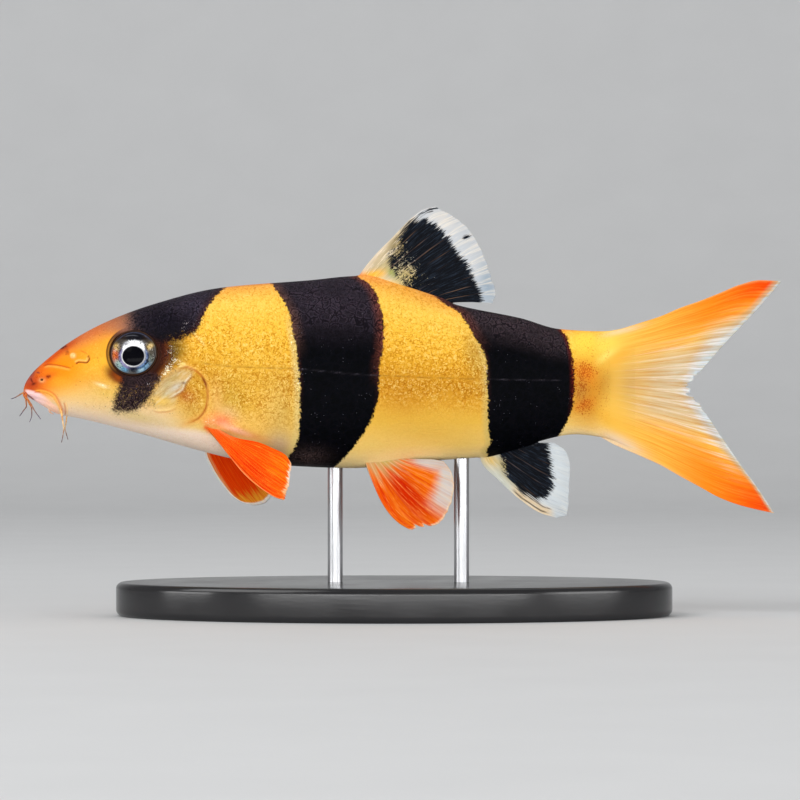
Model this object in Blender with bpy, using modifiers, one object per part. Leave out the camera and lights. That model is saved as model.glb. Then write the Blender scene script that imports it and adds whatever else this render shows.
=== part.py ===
"""A young clown loach, 90 mm long, life size, on a display stand.

Metres, +Z up. The snout points to -X and the left side faces -Y. The origin is the middle of the
underside of the stand's base, on the floor.

The fish is drawn in its own frame, in millimetres: s runs from the tip of the snout to the tail,
y is to its right, and h is the height above the body axis, the level line through the snout and the
fork of the tail. An empty carries that frame to its place over the base.
"""

import math

import bmesh
import bpy
import numpy as np
from mathutils import Matrix, Vector

MM = 0.001
GAP = 0.3
LEFT, RIGHT = -1, 1
SIDES = {"left": LEFT, "right": RIGHT}

# Where the fish hangs over the base
AXIS_HEIGHT = 27.0
SNOUT_AHEAD = 44.0

# The body's outline, each line as (s, h), and its half width as (s, y)
BACK = (
    (0, -0.5), (0.9, 1.6), (2.8, 3.4), (5.1, 5.2), (9.3, 7.6), (15.6, 10.0), (23.4, 11.9),
    (34.0, 12.8), (39.8, 13.3), (44.8, 12.0), (51.9, 9.75), (59.0, 8.3), (63.7, 7.0), (68.7, 6.75),
)
BELLY = (
    (0, -0.5), (0.6, -1.1), (1.4, -1.5), (2.6, -2.25), (3.9, -3.0), (7.2, -3.7), (13.9, -5.4),
    (20.9, -7.4), (26.0, -8.6), (32.0, -9.25), (39.0, -9.5), (47.0, -8.7), (54.2, -8.2),
    (60.5, -6.5), (65.5, -5.45), (68.7, -5.6),
)
HALF_WIDTH = (
    (0, 0), (0.6, 1.15), (1.4, 1.7), (3.0, 2.45), (5.0, 3.05), (8.0, 3.85), (11.0, 4.5), (14.0, 5.05),
    (18.0, 5.55), (24.0, 6.0), (32.0, 6.1), (38.0, 5.85), (44.0, 5.25), (50.0, 4.5), (56.0, 3.55),
    (62.0, 2.5), (66.0, 1.7), (68.7, 0.95),
)
# How the cross-section changes along s: 2 is an ellipse, more is boxier, less comes to a keel
UPPER_ROUNDNESS = ((0, 2.0), (5, 2.1), (12, 2.3), (20, 2.05), (30, 1.95), (45, 1.9), (68.7, 2.2))
LOWER_ROUNDNESS = ((0, 2.0), (4, 2.5), (15, 2.6), (30, 2.5), (45, 2.2), (60, 2.0), (68.7, 2.2))
WIDEST_SHARE = ((0, 0.5), (5, 0.42), (30, 0.42), (50, 0.46), (68.7, 0.5))
BODY_END = 68.7
HEAD_END = 19.0
TRUNK_END = 53.2
RING_POINTS = 36

# Eye: a lens that stands a little proud of the head, turned up and forward as the cheek is
EYE_S, EYE_H = 13.15, 4.2
EYE_RADIUS = 2.9
EYE_HALF_DEPTH = 1.3
EYE_SUNK = 0.5
EYE_TURNED_UP = math.radians(11)
EYE_TURNED_FORWARD = math.radians(9)

# Gill cover: a round plate that stands proud of the cheek
GILL_S, GILL_H = 18.35, -0.85
GILL_RADIUS = 3.55
GILL_PROUD = 0.2
GILL_INNER_Y = 3.5

# Mouth: the cut that parts the lower jaw, from under the tip of the snout back to its corner
MOUTH_FRONT = (0.2, -0.75)
MOUTH_CORNER = (4.6, -2.35)
LIP_RADIUS = 0.4
LIP_SUNK = 0.2
UPPER_LIP_ABOVE = 0.6
LOWER_LIP_BELOW = 0.32

# Nostrils, front and rear: (s, h, radius of the rim, radius of the opening)
NOSTRILS = ((5.95, 3.75, 0.36, 0.22), (7.15, 3.3, 0.44, 0.28))
RIM_THICKNESS = 0.15

# The spine that lies folded in its groove below the eye
SPINE_LINE = ((9.1, 0.7), (12.0, 0.2), (15.0, 0.4))
SPINE_RADIUS = 0.3

# Fins: half thicknesses of the membrane and of the ridge that a ray raises on it
MEMBRANE = 0.25
RAY_RIDGE = 0.17
RAY_FOOT = 0.3


def smooth(points):
    """A curve through (x, value) points with no overshoot, as a function of x."""
    xs, values = np.array(points, float).T
    steps = np.diff(xs)
    rises = np.diff(values) / steps
    slopes = np.concatenate([[rises[0]], np.zeros(len(xs) - 2), [rises[-1]]])
    for k in range(1, len(xs) - 1):
        if rises[k - 1] * rises[k] > 0:
            before, after = 2 * steps[k] + steps[k - 1], steps[k] + 2 * steps[k - 1]
            slopes[k] = (before + after) / (before / rises[k - 1] + after / rises[k])

    def at(x):
        x = min(max(x, xs[0]), xs[-1])
        k = min(int(np.searchsorted(xs, x, side="right")) - 1, len(xs) - 2)
        t = (x - xs[k]) / steps[k]
        bend = slopes[k] * (1 - t) - slopes[k + 1] * t
        chord = rises[k] * (1 - 2 * t)
        return values[k] + rises[k] * steps[k] * t + steps[k] * t * (1 - t) * (bend - chord)

    return at


def blunt(points):
    """As smooth, but along the root of x, so that the line is round where it starts."""
    line = smooth([(math.sqrt(x), value) for x, value in points])
    return lambda x: line(math.sqrt(max(x, 0.0)))


def path(*points):
    """A smooth curve through points of the plane or of space, as a function of 0 to 1."""
    points = np.array(points, float)
    run = np.concatenate([[0], np.cumsum(np.linalg.norm(np.diff(points, axis=0), axis=1))])
    lines = [smooth(list(zip(run / run[-1], column))) for column in points.T]
    return lambda t: np.array([line(t) for line in lines])


back, belly, half_width = blunt(BACK), blunt(BELLY), blunt(HALF_WIDTH)
upper_roundness, lower_roundness = smooth(UPPER_ROUNDNESS), smooth(LOWER_ROUNDNESS)
widest_share = smooth(WIDEST_SHARE)


def section(s, grow=0.0):
    """Top, bottom, half width and the height of the widest place of the cross-section at s."""
    top, low = back(s) + grow, belly(s) - grow
    return top, low, half_width(s) + grow, low + widest_share(s) * (top - low)


def ring(s, grow=0.0):
    """The cross-section at s as points (y, h)."""
    top, low, wide, middle = section(s, grow)
    for k in range(RING_POINTS):
        angle = 2 * math.pi * k / RING_POINTS
        across, up = math.cos(angle), math.sin(angle)
        power = 2 / (upper_roundness(s) if up > 0 else lower_roundness(s))
        reach = top - middle if up > 0 else middle - low
        yield (
            math.copysign(wide * abs(across) ** power, across),
            middle + math.copysign(reach * abs(up) ** power, up),
        )


def flank(s, h):
    """How far the body's surface is from its middle plane at s and h."""
    top, low, wide, middle = section(s)
    share = (h - middle) / (top - middle) if h > middle else (middle - h) / (middle - low)
    roundness = upper_roundness(s) if h > middle else lower_roundness(s)
    return wide * (1 - min(share, 1.0) ** roundness) ** (1 / roundness)


def flank_point(s, h, side, out=0.0):
    """The point of the surface at s and h, moved out along the normal there, and that normal."""
    step = 0.05
    along = (flank(s + step, h) - flank(s - step, h)) / (2 * step)
    upward = (flank(s, h + step) - flank(s, h - step)) / (2 * step)
    normal = Vector((-along, side, -upward)).normalized()
    return Vector((s, side * flank(s, h), h)) + out * normal, normal


def mouth_line(s):
    """Height of the mouth's cut at s."""
    (s0, h0), (s1, h1) = MOUTH_FRONT, MOUTH_CORNER
    return h0 + (h1 - h0) * (s - s0) / (s1 - s0)


def clear_scene():
    for obj in list(bpy.data.objects):
        bpy.data.objects.remove(obj)


def collection_named(name):
    made = bpy.data.collections.new(name)
    bpy.context.scene.collection.children.link(made)
    return made


def material(name, colour, roughness, metallic=0.0):
    made = bpy.data.materials.new(name)
    made.use_nodes = True
    shader = made.node_tree.nodes["Principled BSDF"]
    shader.inputs["Base Color"].default_value = (*colour, 1)
    shader.inputs["Roughness"].default_value = roughness
    shader.inputs["Metallic"].default_value = metallic
    return made


def add_object(name, mesh, parent=None):
    obj = bpy.data.objects.new(name, mesh)
    obj.parent = parent
    parts.objects.link(obj)
    return obj


def mesh_of(name, points, faces):
    """A closed mesh in metres from points in millimetres, with its faces turned outwards."""
    bm = bmesh.new()
    corners = [bm.verts.new(Vector(point) * MM) for point in points]
    for face in faces:
        bm.faces.new([corners[k] for k in face])
    bmesh.ops.recalc_face_normals(bm, faces=bm.faces)
    mesh = bpy.data.meshes.new(name)
    bm.to_mesh(mesh)
    bm.free()
    return mesh


def take_primitive(name, parent):
    """The primitive that Blender has just added, named and moved under the parent."""
    obj = bpy.context.object
    obj.name = name
    for group in list(obj.users_collection):
        group.objects.unlink(obj)
    parts.objects.link(obj)
    obj.parent = parent
    return obj


def settle(obj):
    """Applies the object's modifiers and keeps only the largest closed body of the result."""
    bpy.context.view_layer.update()
    graph = bpy.context.evaluated_depsgraph_get()
    mesh = bpy.data.meshes.new_from_object(obj.evaluated_get(graph))
    bm = bmesh.new()
    bm.from_mesh(mesh)
    left, bodies = set(bm.faces), []
    while left:
        front, body = [left.pop()], []
        while front:
            face = front.pop()
            body.append(face)
            near = {other for edge in face.edges for other in edge.link_faces} & left
            left -= near
            front.extend(near)
        bodies.append(body)
    largest = max(bodies, key=lambda body: sum(face.calc_area() for face in body))
    scraps = [face for body in bodies if body is not largest for face in body]
    bmesh.ops.delete(bm, geom=scraps, context="FACES")
    bm.to_mesh(mesh)
    bm.free()
    obj.modifiers.clear()
    obj.data = mesh


def combine(obj, others, operation):
    """Joins the others to the object, or cuts them from it, or keeps what they share."""
    group = collection_named("Cutters")
    for other in others:
        for holder in list(other.users_collection):
            holder.objects.unlink(other)
        group.objects.link(other)
    change = obj.modifiers.new(operation.title(), "BOOLEAN")
    change.operation = operation
    change.operand_type = "COLLECTION"
    change.collection = group
    settle(obj)
    for other in others:
        bpy.data.objects.remove(other)
    bpy.data.collections.remove(group)


def body_length(name, start, end, stations, grow=0.0, spread=1.0):
    """The body between two places as one closed loft. A spread over 1 crowds its rings to the start."""
    rings = []
    for k in range(stations):
        s = start + (end - start) * (k / (stations - 1)) ** spread
        rings.append([(s, y, h) for y, h in ring(s, grow)])
    points = [point for one in rings for point in one]
    faces = [list(range(RING_POINTS)), list(range(len(points) - RING_POINTS, len(points)))]
    for row in range(stations - 1):
        for k in range(RING_POINTS):
            a = row * RING_POINTS + k
            b = row * RING_POINTS + (k + 1) % RING_POINTS
            faces.append((a, b, b + RING_POINTS, a + RING_POINTS))
    return add_object(name, mesh_of(name, points, faces), fish)


def tube(name, points, radii, sides=8):
    """A round tapering tube through the points, as a closed mesh with its end caps welded."""
    curve = bpy.data.curves.new(name, "CURVE")
    curve.dimensions = "3D"
    curve.bevel_depth = MM
    curve.bevel_resolution = sides // 2 - 2
    curve.use_fill_caps = True
    line = curve.splines.new("POLY")
    line.points.add(len(points) - 1)
    for place, point, radius in zip(line.points, points, radii):
        place.co = (*(Vector(point) * MM), 1)
        place.radius = radius
    drawn = add_object(name + "_line", curve, fish)
    bpy.context.view_layer.update()
    graph = bpy.context.evaluated_depsgraph_get()
    mesh = bpy.data.meshes.new_from_object(drawn.evaluated_get(graph))
    bpy.data.objects.remove(drawn)
    bm = bmesh.new()
    bm.from_mesh(mesh)
    bmesh.ops.remove_doubles(bm, verts=bm.verts, dist=1e-6)
    bmesh.ops.recalc_face_normals(bm, faces=bm.faces)
    bm.to_mesh(mesh)
    bm.free()
    return add_object(name, mesh, fish)


def gill_disc(side, radius, inner_y):
    """A cylinder through the gill cover's place, from inner_y out past the cheek."""
    outer_y = 8.0
    bpy.ops.mesh.primitive_cylinder_add(
        vertices=32, radius=radius * MM, depth=(outer_y - inner_y) * MM,
        location=(GILL_S * MM, side * (outer_y + inner_y) / 2 * MM, GILL_H * MM),
        rotation=(math.pi / 2, 0, 0),
    )
    return take_primitive("gill_disc", fish)


def jaw_block(grow=0.0):
    """The block under the mouth's cut that the lower jaw fills."""
    (s0, h0), (s1, h1) = MOUTH_FRONT, MOUTH_CORNER
    tilt = math.atan2(h0 - h1, s1 - s0)
    long, wide, deep = 7.0 + grow, 10.0, 4.0 + grow
    corner = Vector((s1, 0, h1))
    turn = Matrix.Rotation(tilt, 4, "Y")
    middle = corner + turn @ Vector((grow - long / 2, 0, grow - deep / 2))
    bpy.ops.mesh.primitive_cube_add(size=MM)
    block = take_primitive("jaw_block", fish)
    block.data.transform(Matrix.Diagonal((long, wide, deep, 1)))
    block.location = middle * MM
    block.rotation_euler = (0, tilt, 0)
    return block


def lip(offset, share):
    """The swelling round one lip, from one corner of the mouth round the snout to the other."""
    end = MOUTH_CORNER[0] - 0.2
    front = next(s / 100 for s in range(1, 200) if belly(s / 100) < mouth_line(s / 100) + offset)
    half = []
    for k in range(11):
        s = front + LIP_SUNK + (end - front) * (k / 10) ** 2
        h = mouth_line(s) + offset * (1 - 0.5 * (k / 10) ** 4)
        half.append((s, flank(s, h) * share, h))
    half[0] = (half[0][0], 0.0, half[0][2])
    radii = [LIP_RADIUS * (1 - 0.75 * (k / 10) ** 5) for k in range(11)]
    points = [(s, -y, h) for s, y, h in reversed(half)] + half[1:]
    return tube("lip", points, radii[::-1] + radii[1:], sides=8)


def eye_body(side, grow=0.0):
    """The eyeball, or with a gap to spare the socket that holds it."""
    middle, _ = flank_point(EYE_S, EYE_H, side, -EYE_SUNK)
    bpy.ops.mesh.primitive_uv_sphere_add(segments=20, ring_count=10, radius=MM)
    ball = take_primitive("socket" if grow else "eye_" + ("left" if side == LEFT else "right"), fish)
    radius, depth = EYE_RADIUS + grow, EYE_HALF_DEPTH + grow
    ball.data.transform(Matrix.Diagonal((radius, radius, depth, 1)))
    out = Vector((-math.sin(EYE_TURNED_FORWARD), side * math.cos(EYE_TURNED_UP), math.sin(EYE_TURNED_UP)))
    ball.rotation_euler = out.to_track_quat("Z", "Y").to_euler()
    ball.location = middle * MM
    return ball


def nostril_rim(place, side):
    s, h, rim, _ = place
    middle, normal = flank_point(s, h, side)
    bpy.ops.mesh.primitive_torus_add(
        major_segments=14, minor_segments=6, major_radius=rim * MM, minor_radius=RIM_THICKNESS * MM,
        location=middle * MM, rotation=normal.to_track_quat("Z", "Y").to_euler(),
    )
    return take_primitive("nostril_rim", fish)


def nostril_pit(place, side):
    s, h, _, opening = place
    middle, normal = flank_point(s, h, side)
    bpy.ops.mesh.primitive_cylinder_add(
        vertices=10, radius=opening * MM, depth=1.0 * MM,
        location=middle * MM, rotation=normal.to_track_quat("Z", "Y").to_euler(),
    )
    return take_primitive("nostril_pit", fish)


def spine_ridge(side):
    """The folded spine as a low ridge on the cheek."""
    line = path(*SPINE_LINE)
    places = [line(k / 6) for k in range(7)]
    points = [flank_point(s, h, side, -0.08)[0] for s, h in places]
    radii = [SPINE_RADIUS * (0.35 + 0.65 * math.sin(math.pi * (k + 0.5) / 7)) for k in range(7)]
    return tube("spine_ridge", points, radii, sides=6)


def make_head():
    head = body_length("head", 0.02, HEAD_END - GAP / 2, 30, spread=1.7)
    raised = [lip(UPPER_LIP_ABOVE, 0.93)]
    raised += [nostril_rim(place, side) for side in SIDES.values() for place in NOSTRILS]
    raised += [spine_ridge(side) for side in SIDES.values()]
    combine(head, raised, "UNION")
    cuts = [jaw_block(GAP)]
    cuts += [eye_body(side, GAP) for side in SIDES.values()]
    cuts += [gill_disc(side, GILL_RADIUS + GAP, GILL_INNER_Y - GAP) for side in SIDES.values()]
    cuts += [nostril_pit(place, side) for side in SIDES.values() for place in NOSTRILS]
    combine(head, cuts, "DIFFERENCE")
    return head


def make_lower_jaw():
    jaw = body_length("lower_jaw", 0.02, MOUTH_CORNER[0] + 2.0, 14, spread=1.5)
    combine(jaw, [lip(-LOWER_LIP_BELOW, 0.86)], "UNION")
    combine(jaw, [jaw_block()], "INTERSECT")
    return jaw


def make_gill_cover(name, side):
    reach = GILL_RADIUS + 1.5
    cover = body_length("gill_cover_" + name, GILL_S - reach, GILL_S + reach, 12, grow=GILL_PROUD)
    combine(cover, [gill_disc(side, GILL_RADIUS, GILL_INNER_Y)], "INTERSECT")
    return cover


def make_trunk():
    trunk = body_length("trunk", HEAD_END + GAP / 2, TRUNK_END - GAP / 2, 24)
    cuts = [gill_disc(side, GILL_RADIUS + GAP, GILL_INNER_Y - GAP) for side in SIDES.values()]
    combine(trunk, cuts, "DIFFERENCE")
    return trunk


def make_tail_stem():
    return body_length("tail_stem", TRUNK_END + GAP / 2, BODY_END, 12)


def coons(root, lead, trail, margin):
    """The patch between four edges: root and margin run from the lead to the trail, these outwards."""

    def at(u, v):
        ruled = (1 - v) * root(u) + v * margin(u) + (1 - u) * lead(v) + u * trail(v)
        corners = (1 - v) * ((1 - u) * root(0) + u * root(1)) + v * ((1 - u) * margin(0) + u * margin(1))
        return ruled - corners

    return at


def ray_columns(rays):
    """Places across a fin, each with the share of a ray's ridge there: crest, foot, foot, crest."""
    columns = []
    for k in range(rays):
        middle, foot = k / (rays - 1), RAY_FOOT / (rays - 1)
        columns += [(middle - foot, 0.0), (middle, 1.0), (middle + foot, 0.0)]
    return columns[1:-1]


def make_fin(name, patch, rays, rows, place, flesh):
    """A closed fin: a patch with rays raised on both faces. place puts (s, h, thickness) in space."""
    columns = ray_columns(rays)
    wide = len(columns)
    points = []
    for face in (1, -1):
        for row in range(rows):
            v = row / (rows - 1)
            for u, crest in columns:
                half = MEMBRANE + RAY_RIDGE * crest * (1 - 0.6 * v) + flesh(u) * max(0, 1 - v / 0.3) ** 2
                s, h = patch(u, v)
                points.append(place(s, h, face * half, v))
    faces = []
    back_face = rows * wide

    def split(a, b, c, d):
        faces.extend(((a, b, c), (a, c, d)))

    for row in range(rows - 1):
        for k in range(wide - 1):
            a = row * wide + k
            b, c, d = a + 1, a + wide + 1, a + wide
            split(a, b, c, d)
            split(a + back_face, b + back_face, c + back_face, d + back_face)
    for row in range(rows - 1):
        for a, d in ((row * wide, (row + 1) * wide), (row * wide + wide - 1, (row + 2) * wide - 1)):
            split(a, d, d + back_face, a + back_face)
    for k in range(wide - 1):
        for a in (k, (rows - 1) * wide + k):
            split(a, a + 1, a + 1 + back_face, a + back_face)
    return add_object(name, mesh_of(name, points, faces), fish)


def upright(s, h, thickness, _):
    """Places a fin of the middle plane."""
    return (s, thickness, h)


def make_dorsal_fin():
    start, end = 39.9, 50.0
    root = lambda u: np.array((start + (end - start) * u, back(start + (end - start) * u) + GAP))
    lead = path(root(0), (41.3, 15.3), (43.7, 17.8), (46.1, 20.2), (48.3, 21.4))
    margin = path((48.3, 21.4), (50.1, 20.9), (52.8, 18.8), (54.9, 15.3), (56.1, 11.4), (55.6, 9.9))
    trail = path(root(1), (53.0, 10.4), (55.6, 9.9))
    patch = coons(root, lead, trail, margin)
    return make_fin("dorsal_fin", patch, 11, 8, upright, lambda u: 0.35)


def make_anal_fin():
    start, end = 54.3, 60.2
    root = lambda u: np.array((start + (end - start) * u, belly(start + (end - start) * u) - GAP))
    lead = path(root(0), (56.6, -11.1), (58.9, -13.2), (61.3, -14.8), (63.3, -15.4))
    margin = path((63.3, -15.4), (64.5, -15.1), (64.7, -13.2), (64.9, -9.2), (64.2, -7.2), (62.9, -6.5))
    trail = path(root(1), (61.5, -6.75), (62.9, -6.5))
    patch = coons(root, lead, trail, margin)
    return make_fin("anal_fin", patch, 8, 7, upright, lambda u: 0.25)


TAIL_FORK = (79.4, 0.0)
TAIL_ROOT = BODY_END + GAP


def tail_flesh(h):
    """Extra half thickness at the tail fin's root, which takes it out to the end of the tail stem."""
    return max(0.0, flank(BODY_END, h) - MEMBRANE)


def make_tail_lobe(name, lead, margin, root_h, rays):
    """One lobe of the tail fin, from its outer edge in to the fork."""
    root = lambda u: np.array((TAIL_ROOT, root_h[0] + (root_h[1] - root_h[0]) * u))
    trail = path(root(1), (TAIL_FORK[0], root_h[1]))
    patch = coons(root, path(root(0), *lead), trail, path(*margin, (TAIL_FORK[0], root_h[1])))
    return make_fin(name, patch, rays, 9, upright, lambda u: tail_flesh(root(u)[1]))


def make_tail_fin():
    half_gap = GAP / 2
    upper_lead = ((73.1, 7.7), (78.0, 9.4), (82.7, 11.4), (86.3, 12.8), (90.0, 12.75))
    upper_margin = ((90.0, 12.75), (87.4, 9.6), (83.8, 5.7), (80.9, 2.5))
    make_tail_lobe("tail_fin_upper", upper_lead, upper_margin, (6.6, half_gap), 10)
    lower_lead = ((73.1, -8.0), (78.0, -10.9), (82.7, -13.1), (86.3, -14.3), (89.1, -14.8))
    lower_margin = ((89.1, -14.8), (86.3, -10.6), (83.6, -6.5), (81.3, -3.0))
    make_tail_lobe("tail_fin_lower", lower_lead, lower_margin, (-5.5, -half_gap), 9)


def sloping(side, root_y, root_h, slope, curl):
    """Places a paired fin: its plane leans outwards by the slope and curls back in to the tips."""
    outward = Vector((0, side * math.cos(slope), math.sin(slope)))

    def place(s, h, thickness, v):
        y = root_y + math.tan(slope) * (root_h - h) - curl * v * v
        return Vector((s, side * y, h)) + thickness * outward

    return place


def trim_at_body(fin):
    """Cuts the fin's sunk root back to the body's surface, with the gap between them."""
    reach = 12.0
    middle = sum((Vector(corner)[0] for corner in fin.bound_box)) / 8 / MM
    start, end = max(0.02, middle - reach), min(BODY_END, middle + reach)
    combine(fin, [body_length("body_cutter", start, end, 30, grow=GAP)], "DIFFERENCE")


def make_pectoral_fin(name, side):
    """Folded back on the left, and swung down and forward on the right."""
    if side == LEFT:
        slope, curl = math.radians(32), 0.8
        lead = path((21.3, -4.2), (23.1, -6.9), (25.3, -9.4), (27.9, -11.7), (29.2, -12.6), (30.8, -13.2))
        margin = path((30.8, -13.2), (31.3, -12.1), (31.7, -9.7), (31.3, -8.3))
        trail = path((22.9, -4.0), (24.0, -5.3), (26.0, -6.3), (28.5, -6.8), (31.3, -8.3))
    else:
        slope, curl = math.radians(38), 1.0
        lead = path((21.5, -4.2), (21.4, -7.4), (22.1, -9.4), (23.0, -11.2), (24.3, -12.8), (25.8, -13.7))
        margin = path((25.8, -13.7), (27.2, -14.0), (28.8, -13.5), (29.9, -11.9))
        trail = path((23.1, -4.1), (25.7, -7.9), (28.3, -10.3), (29.9, -11.9))
    root = path(lead(0), trail(0))
    place = sloping(side, flank(22.0, -4.7) - 0.7, -4.1, slope, curl)
    patch = coons(root, lead, trail, margin)
    fin = make_fin("pectoral_fin_" + name, patch, 13, 7, place, lambda u: 0.3)
    trim_at_body(fin)


def make_pelvic_fin(name, side):
    slope, curl = math.radians(28), 0.6
    lead = path((40.4, -8.4), (41.4, -11.0), (42.4, -13.2), (43.3, -14.6), (44.6, -15.9), (46.0, -16.7))
    margin = path((46.0, -16.7), (48.9, -16.1), (50.2, -14.8), (51.0, -11.6), (50.0, -9.1))
    trail = path((44.2, -8.3), (45.2, -9.2), (47.4, -9.4), (50.0, -9.1))
    root = path(lead(0), trail(0))
    place = sloping(side, 1.9, -8.4, slope, curl)
    patch = coons(root, lead, trail, margin)
    fin = make_fin("pelvic_fin_" + name, patch, 8, 7, place, lambda u: 0.2)
    trim_at_body(fin)


# Barbels of the left side and of the right as (s, y, h), with y counted outwards: from the lip or
# the corner of the mouth to the tip
BARBELS = {
    "rostral_barbel_inner": (
        ((-0.32, 0.6, -0.7), (-0.45, 0.95, -1.5), (0.0, 1.5, -2.7), (0.75, 1.9, -4.0)),
        ((-0.32, 0.6, -0.7), (-0.5, 0.95, -1.2), (-0.6, 1.6, -2.2), (-0.45, 2.2, -3.3)),
    ),
    "rostral_barbel_outer": (
        ((0.4, 1.85, -0.8), (0.65, 2.35, -1.6), (1.3, 2.8, -2.7), (2.05, 3.3, -3.7)),
        ((0.4, 1.85, -0.8), (0.0, 2.35, -0.9), (-0.7, 2.8, -1.05), (-1.5, 3.3, -1.35)),
    ),
    "maxillary_barbel": (
        ((5.15, 2.85, -2.55), (5.2, 3.3, -3.3), (4.9, 3.4, -4.8), (4.5, 3.2, -6.4)),
        ((5.15, 2.85, -2.55), (5.0, 3.3, -3.3), (5.1, 3.4, -4.8), (5.4, 3.2, -6.1)),
    ),
}
BARBEL_RADIUS = 0.3
BARBEL_TIP_RADIUS = 0.13
CHIN_BARBEL_S = 3.0


def make_barbel(name, points):
    line = path(*points)
    count = 8
    radii = [BARBEL_RADIUS + (BARBEL_TIP_RADIUS - BARBEL_RADIUS) * (k / (count - 1)) ** 1.5 for k in range(count)]
    tube(name, [line(k / (count - 1)) for k in range(count)], radii, sides=8)


def make_barbels():
    for kind, ways in BARBELS.items():
        for (name, side), way in zip(SIDES.items(), ways):
            make_barbel(f"{kind}_{name}", [(s, side * y, h) for s, y, h in way])
    for name, side in SIDES.items():
        s, y = CHIN_BARBEL_S, side * 0.7
        low = belly(s) - GAP - 0.2
        make_barbel(f"chin_barbel_{name}", [(s, y, low), (s + 0.1, y, low - 0.6), (s + 0.5, 1.4 * y, low - 1.5)])


# Stand: an oval base and two rods to the belly, ahead of and behind the pelvic fins
BASE_LENGTH, BASE_WIDTH, BASE_THICKNESS = 66.0, 36.0, 4.0
BASE_EDGE = 0.8
ROD_RADIUS = 0.9
ROD_PLACES = {"stand_rod_front": 37.0, "stand_rod_rear": 52.0}


def make_stand():
    bpy.ops.mesh.primitive_cylinder_add(vertices=48, radius=0.5 * MM, depth=MM)
    base = take_primitive("stand_base", None)
    base.data.transform(Matrix.Diagonal((BASE_LENGTH, BASE_WIDTH, BASE_THICKNESS, 1)))
    base.location = (0, 0, BASE_THICKNESS / 2 * MM)
    edge = base.modifiers.new("Rounded edge", "BEVEL")
    edge.width = BASE_EDGE * MM
    edge.segments = 2
    for name, s in ROD_PLACES.items():
        bottom, top = BASE_THICKNESS + GAP, AXIS_HEIGHT + belly(s) - GAP
        bpy.ops.mesh.primitive_cylinder_add(
            vertices=20, radius=ROD_RADIUS * MM, depth=(top - bottom) * MM,
            location=((s - SNOUT_AHEAD) * MM, 0, (top + bottom) / 2 * MM),
        )
        take_primitive(name, None)


SLOTS = {
    "skin": ((0.95, 0.60, 0.10), 0.35, 0.0, ("head", "lower_jaw", "gill_cover", "trunk", "tail_stem")),
    "orange_fin": ((0.95, 0.25, 0.02), 0.4, 0.0, ("pectoral_fin", "pelvic_fin")),
    "tail_fin": ((0.95, 0.50, 0.08), 0.4, 0.0, ("tail_fin",)),
    "dark_fin": ((0.05, 0.06, 0.07), 0.4, 0.0, ("dorsal_fin", "anal_fin")),
    "eye": ((0.02, 0.02, 0.03), 0.05, 0.0, ("eye",)),
    "barbel": ((0.85, 0.42, 0.15), 0.4, 0.0, ("rostral_barbel", "maxillary_barbel", "chin_barbel")),
    "stand_base": ((0.03, 0.03, 0.03), 0.3, 0.0, ("stand_base",)),
    "stand_rod": ((0.7, 0.7, 0.72), 0.25, 1.0, ("stand_rod",)),
}


def paint():
    for slot, (colour, roughness, metallic, starts) in SLOTS.items():
        finish = material(slot, colour, roughness, metallic)
        for obj in parts.objects:
            if obj.type == "MESH" and obj.name.startswith(starts):
                obj.data.materials.clear()
                obj.data.materials.append(finish)
                obj.data.shade_smooth()
                obj.data.set_sharp_from_angle(angle=math.radians(40))


clear_scene()
parts = collection_named("Clown loach")
fish = bpy.data.objects.new("fish", None)
fish.location = (-SNOUT_AHEAD * MM, 0, AXIS_HEIGHT * MM)
parts.objects.link(fish)

make_head()
make_lower_jaw()
make_trunk()
make_tail_stem()
make_dorsal_fin()
make_anal_fin()
make_tail_fin()
for side_name, side_sign in SIDES.items():
    make_gill_cover(side_name, side_sign)
    eye_body(side_sign)
    make_pectoral_fin(side_name, side_sign)
    make_pelvic_fin(side_name, side_sign)
make_barbels()
make_stand()
paint()
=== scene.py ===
"""A young clown loach on its display stand: the dressed model, the studio and the camera.

Shapes are drawn in the fish's own frame, in millimetres: s runs from the tip of the snout to the
tail, y is to its right, and h is the height above the body axis. to_world puts them in the CAD frame.
"""

import math

import bpy
import numpy as np
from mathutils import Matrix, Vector


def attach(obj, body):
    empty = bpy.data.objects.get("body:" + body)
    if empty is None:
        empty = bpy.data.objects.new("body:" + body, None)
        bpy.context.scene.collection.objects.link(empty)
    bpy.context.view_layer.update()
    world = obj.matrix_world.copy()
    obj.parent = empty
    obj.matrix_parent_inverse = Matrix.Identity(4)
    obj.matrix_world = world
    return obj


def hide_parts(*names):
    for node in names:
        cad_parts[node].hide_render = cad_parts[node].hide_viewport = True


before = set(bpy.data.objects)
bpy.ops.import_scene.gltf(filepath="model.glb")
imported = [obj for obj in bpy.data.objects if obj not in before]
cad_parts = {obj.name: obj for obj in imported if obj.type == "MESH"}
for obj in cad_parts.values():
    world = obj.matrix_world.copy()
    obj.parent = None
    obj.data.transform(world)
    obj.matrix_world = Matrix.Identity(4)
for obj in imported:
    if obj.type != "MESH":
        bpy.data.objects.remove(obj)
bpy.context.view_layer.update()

SNOUT_AHEAD, AXIS_HEIGHT = 44.0, 27.0
SIDES = {"left": -1, "right": 1}

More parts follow.
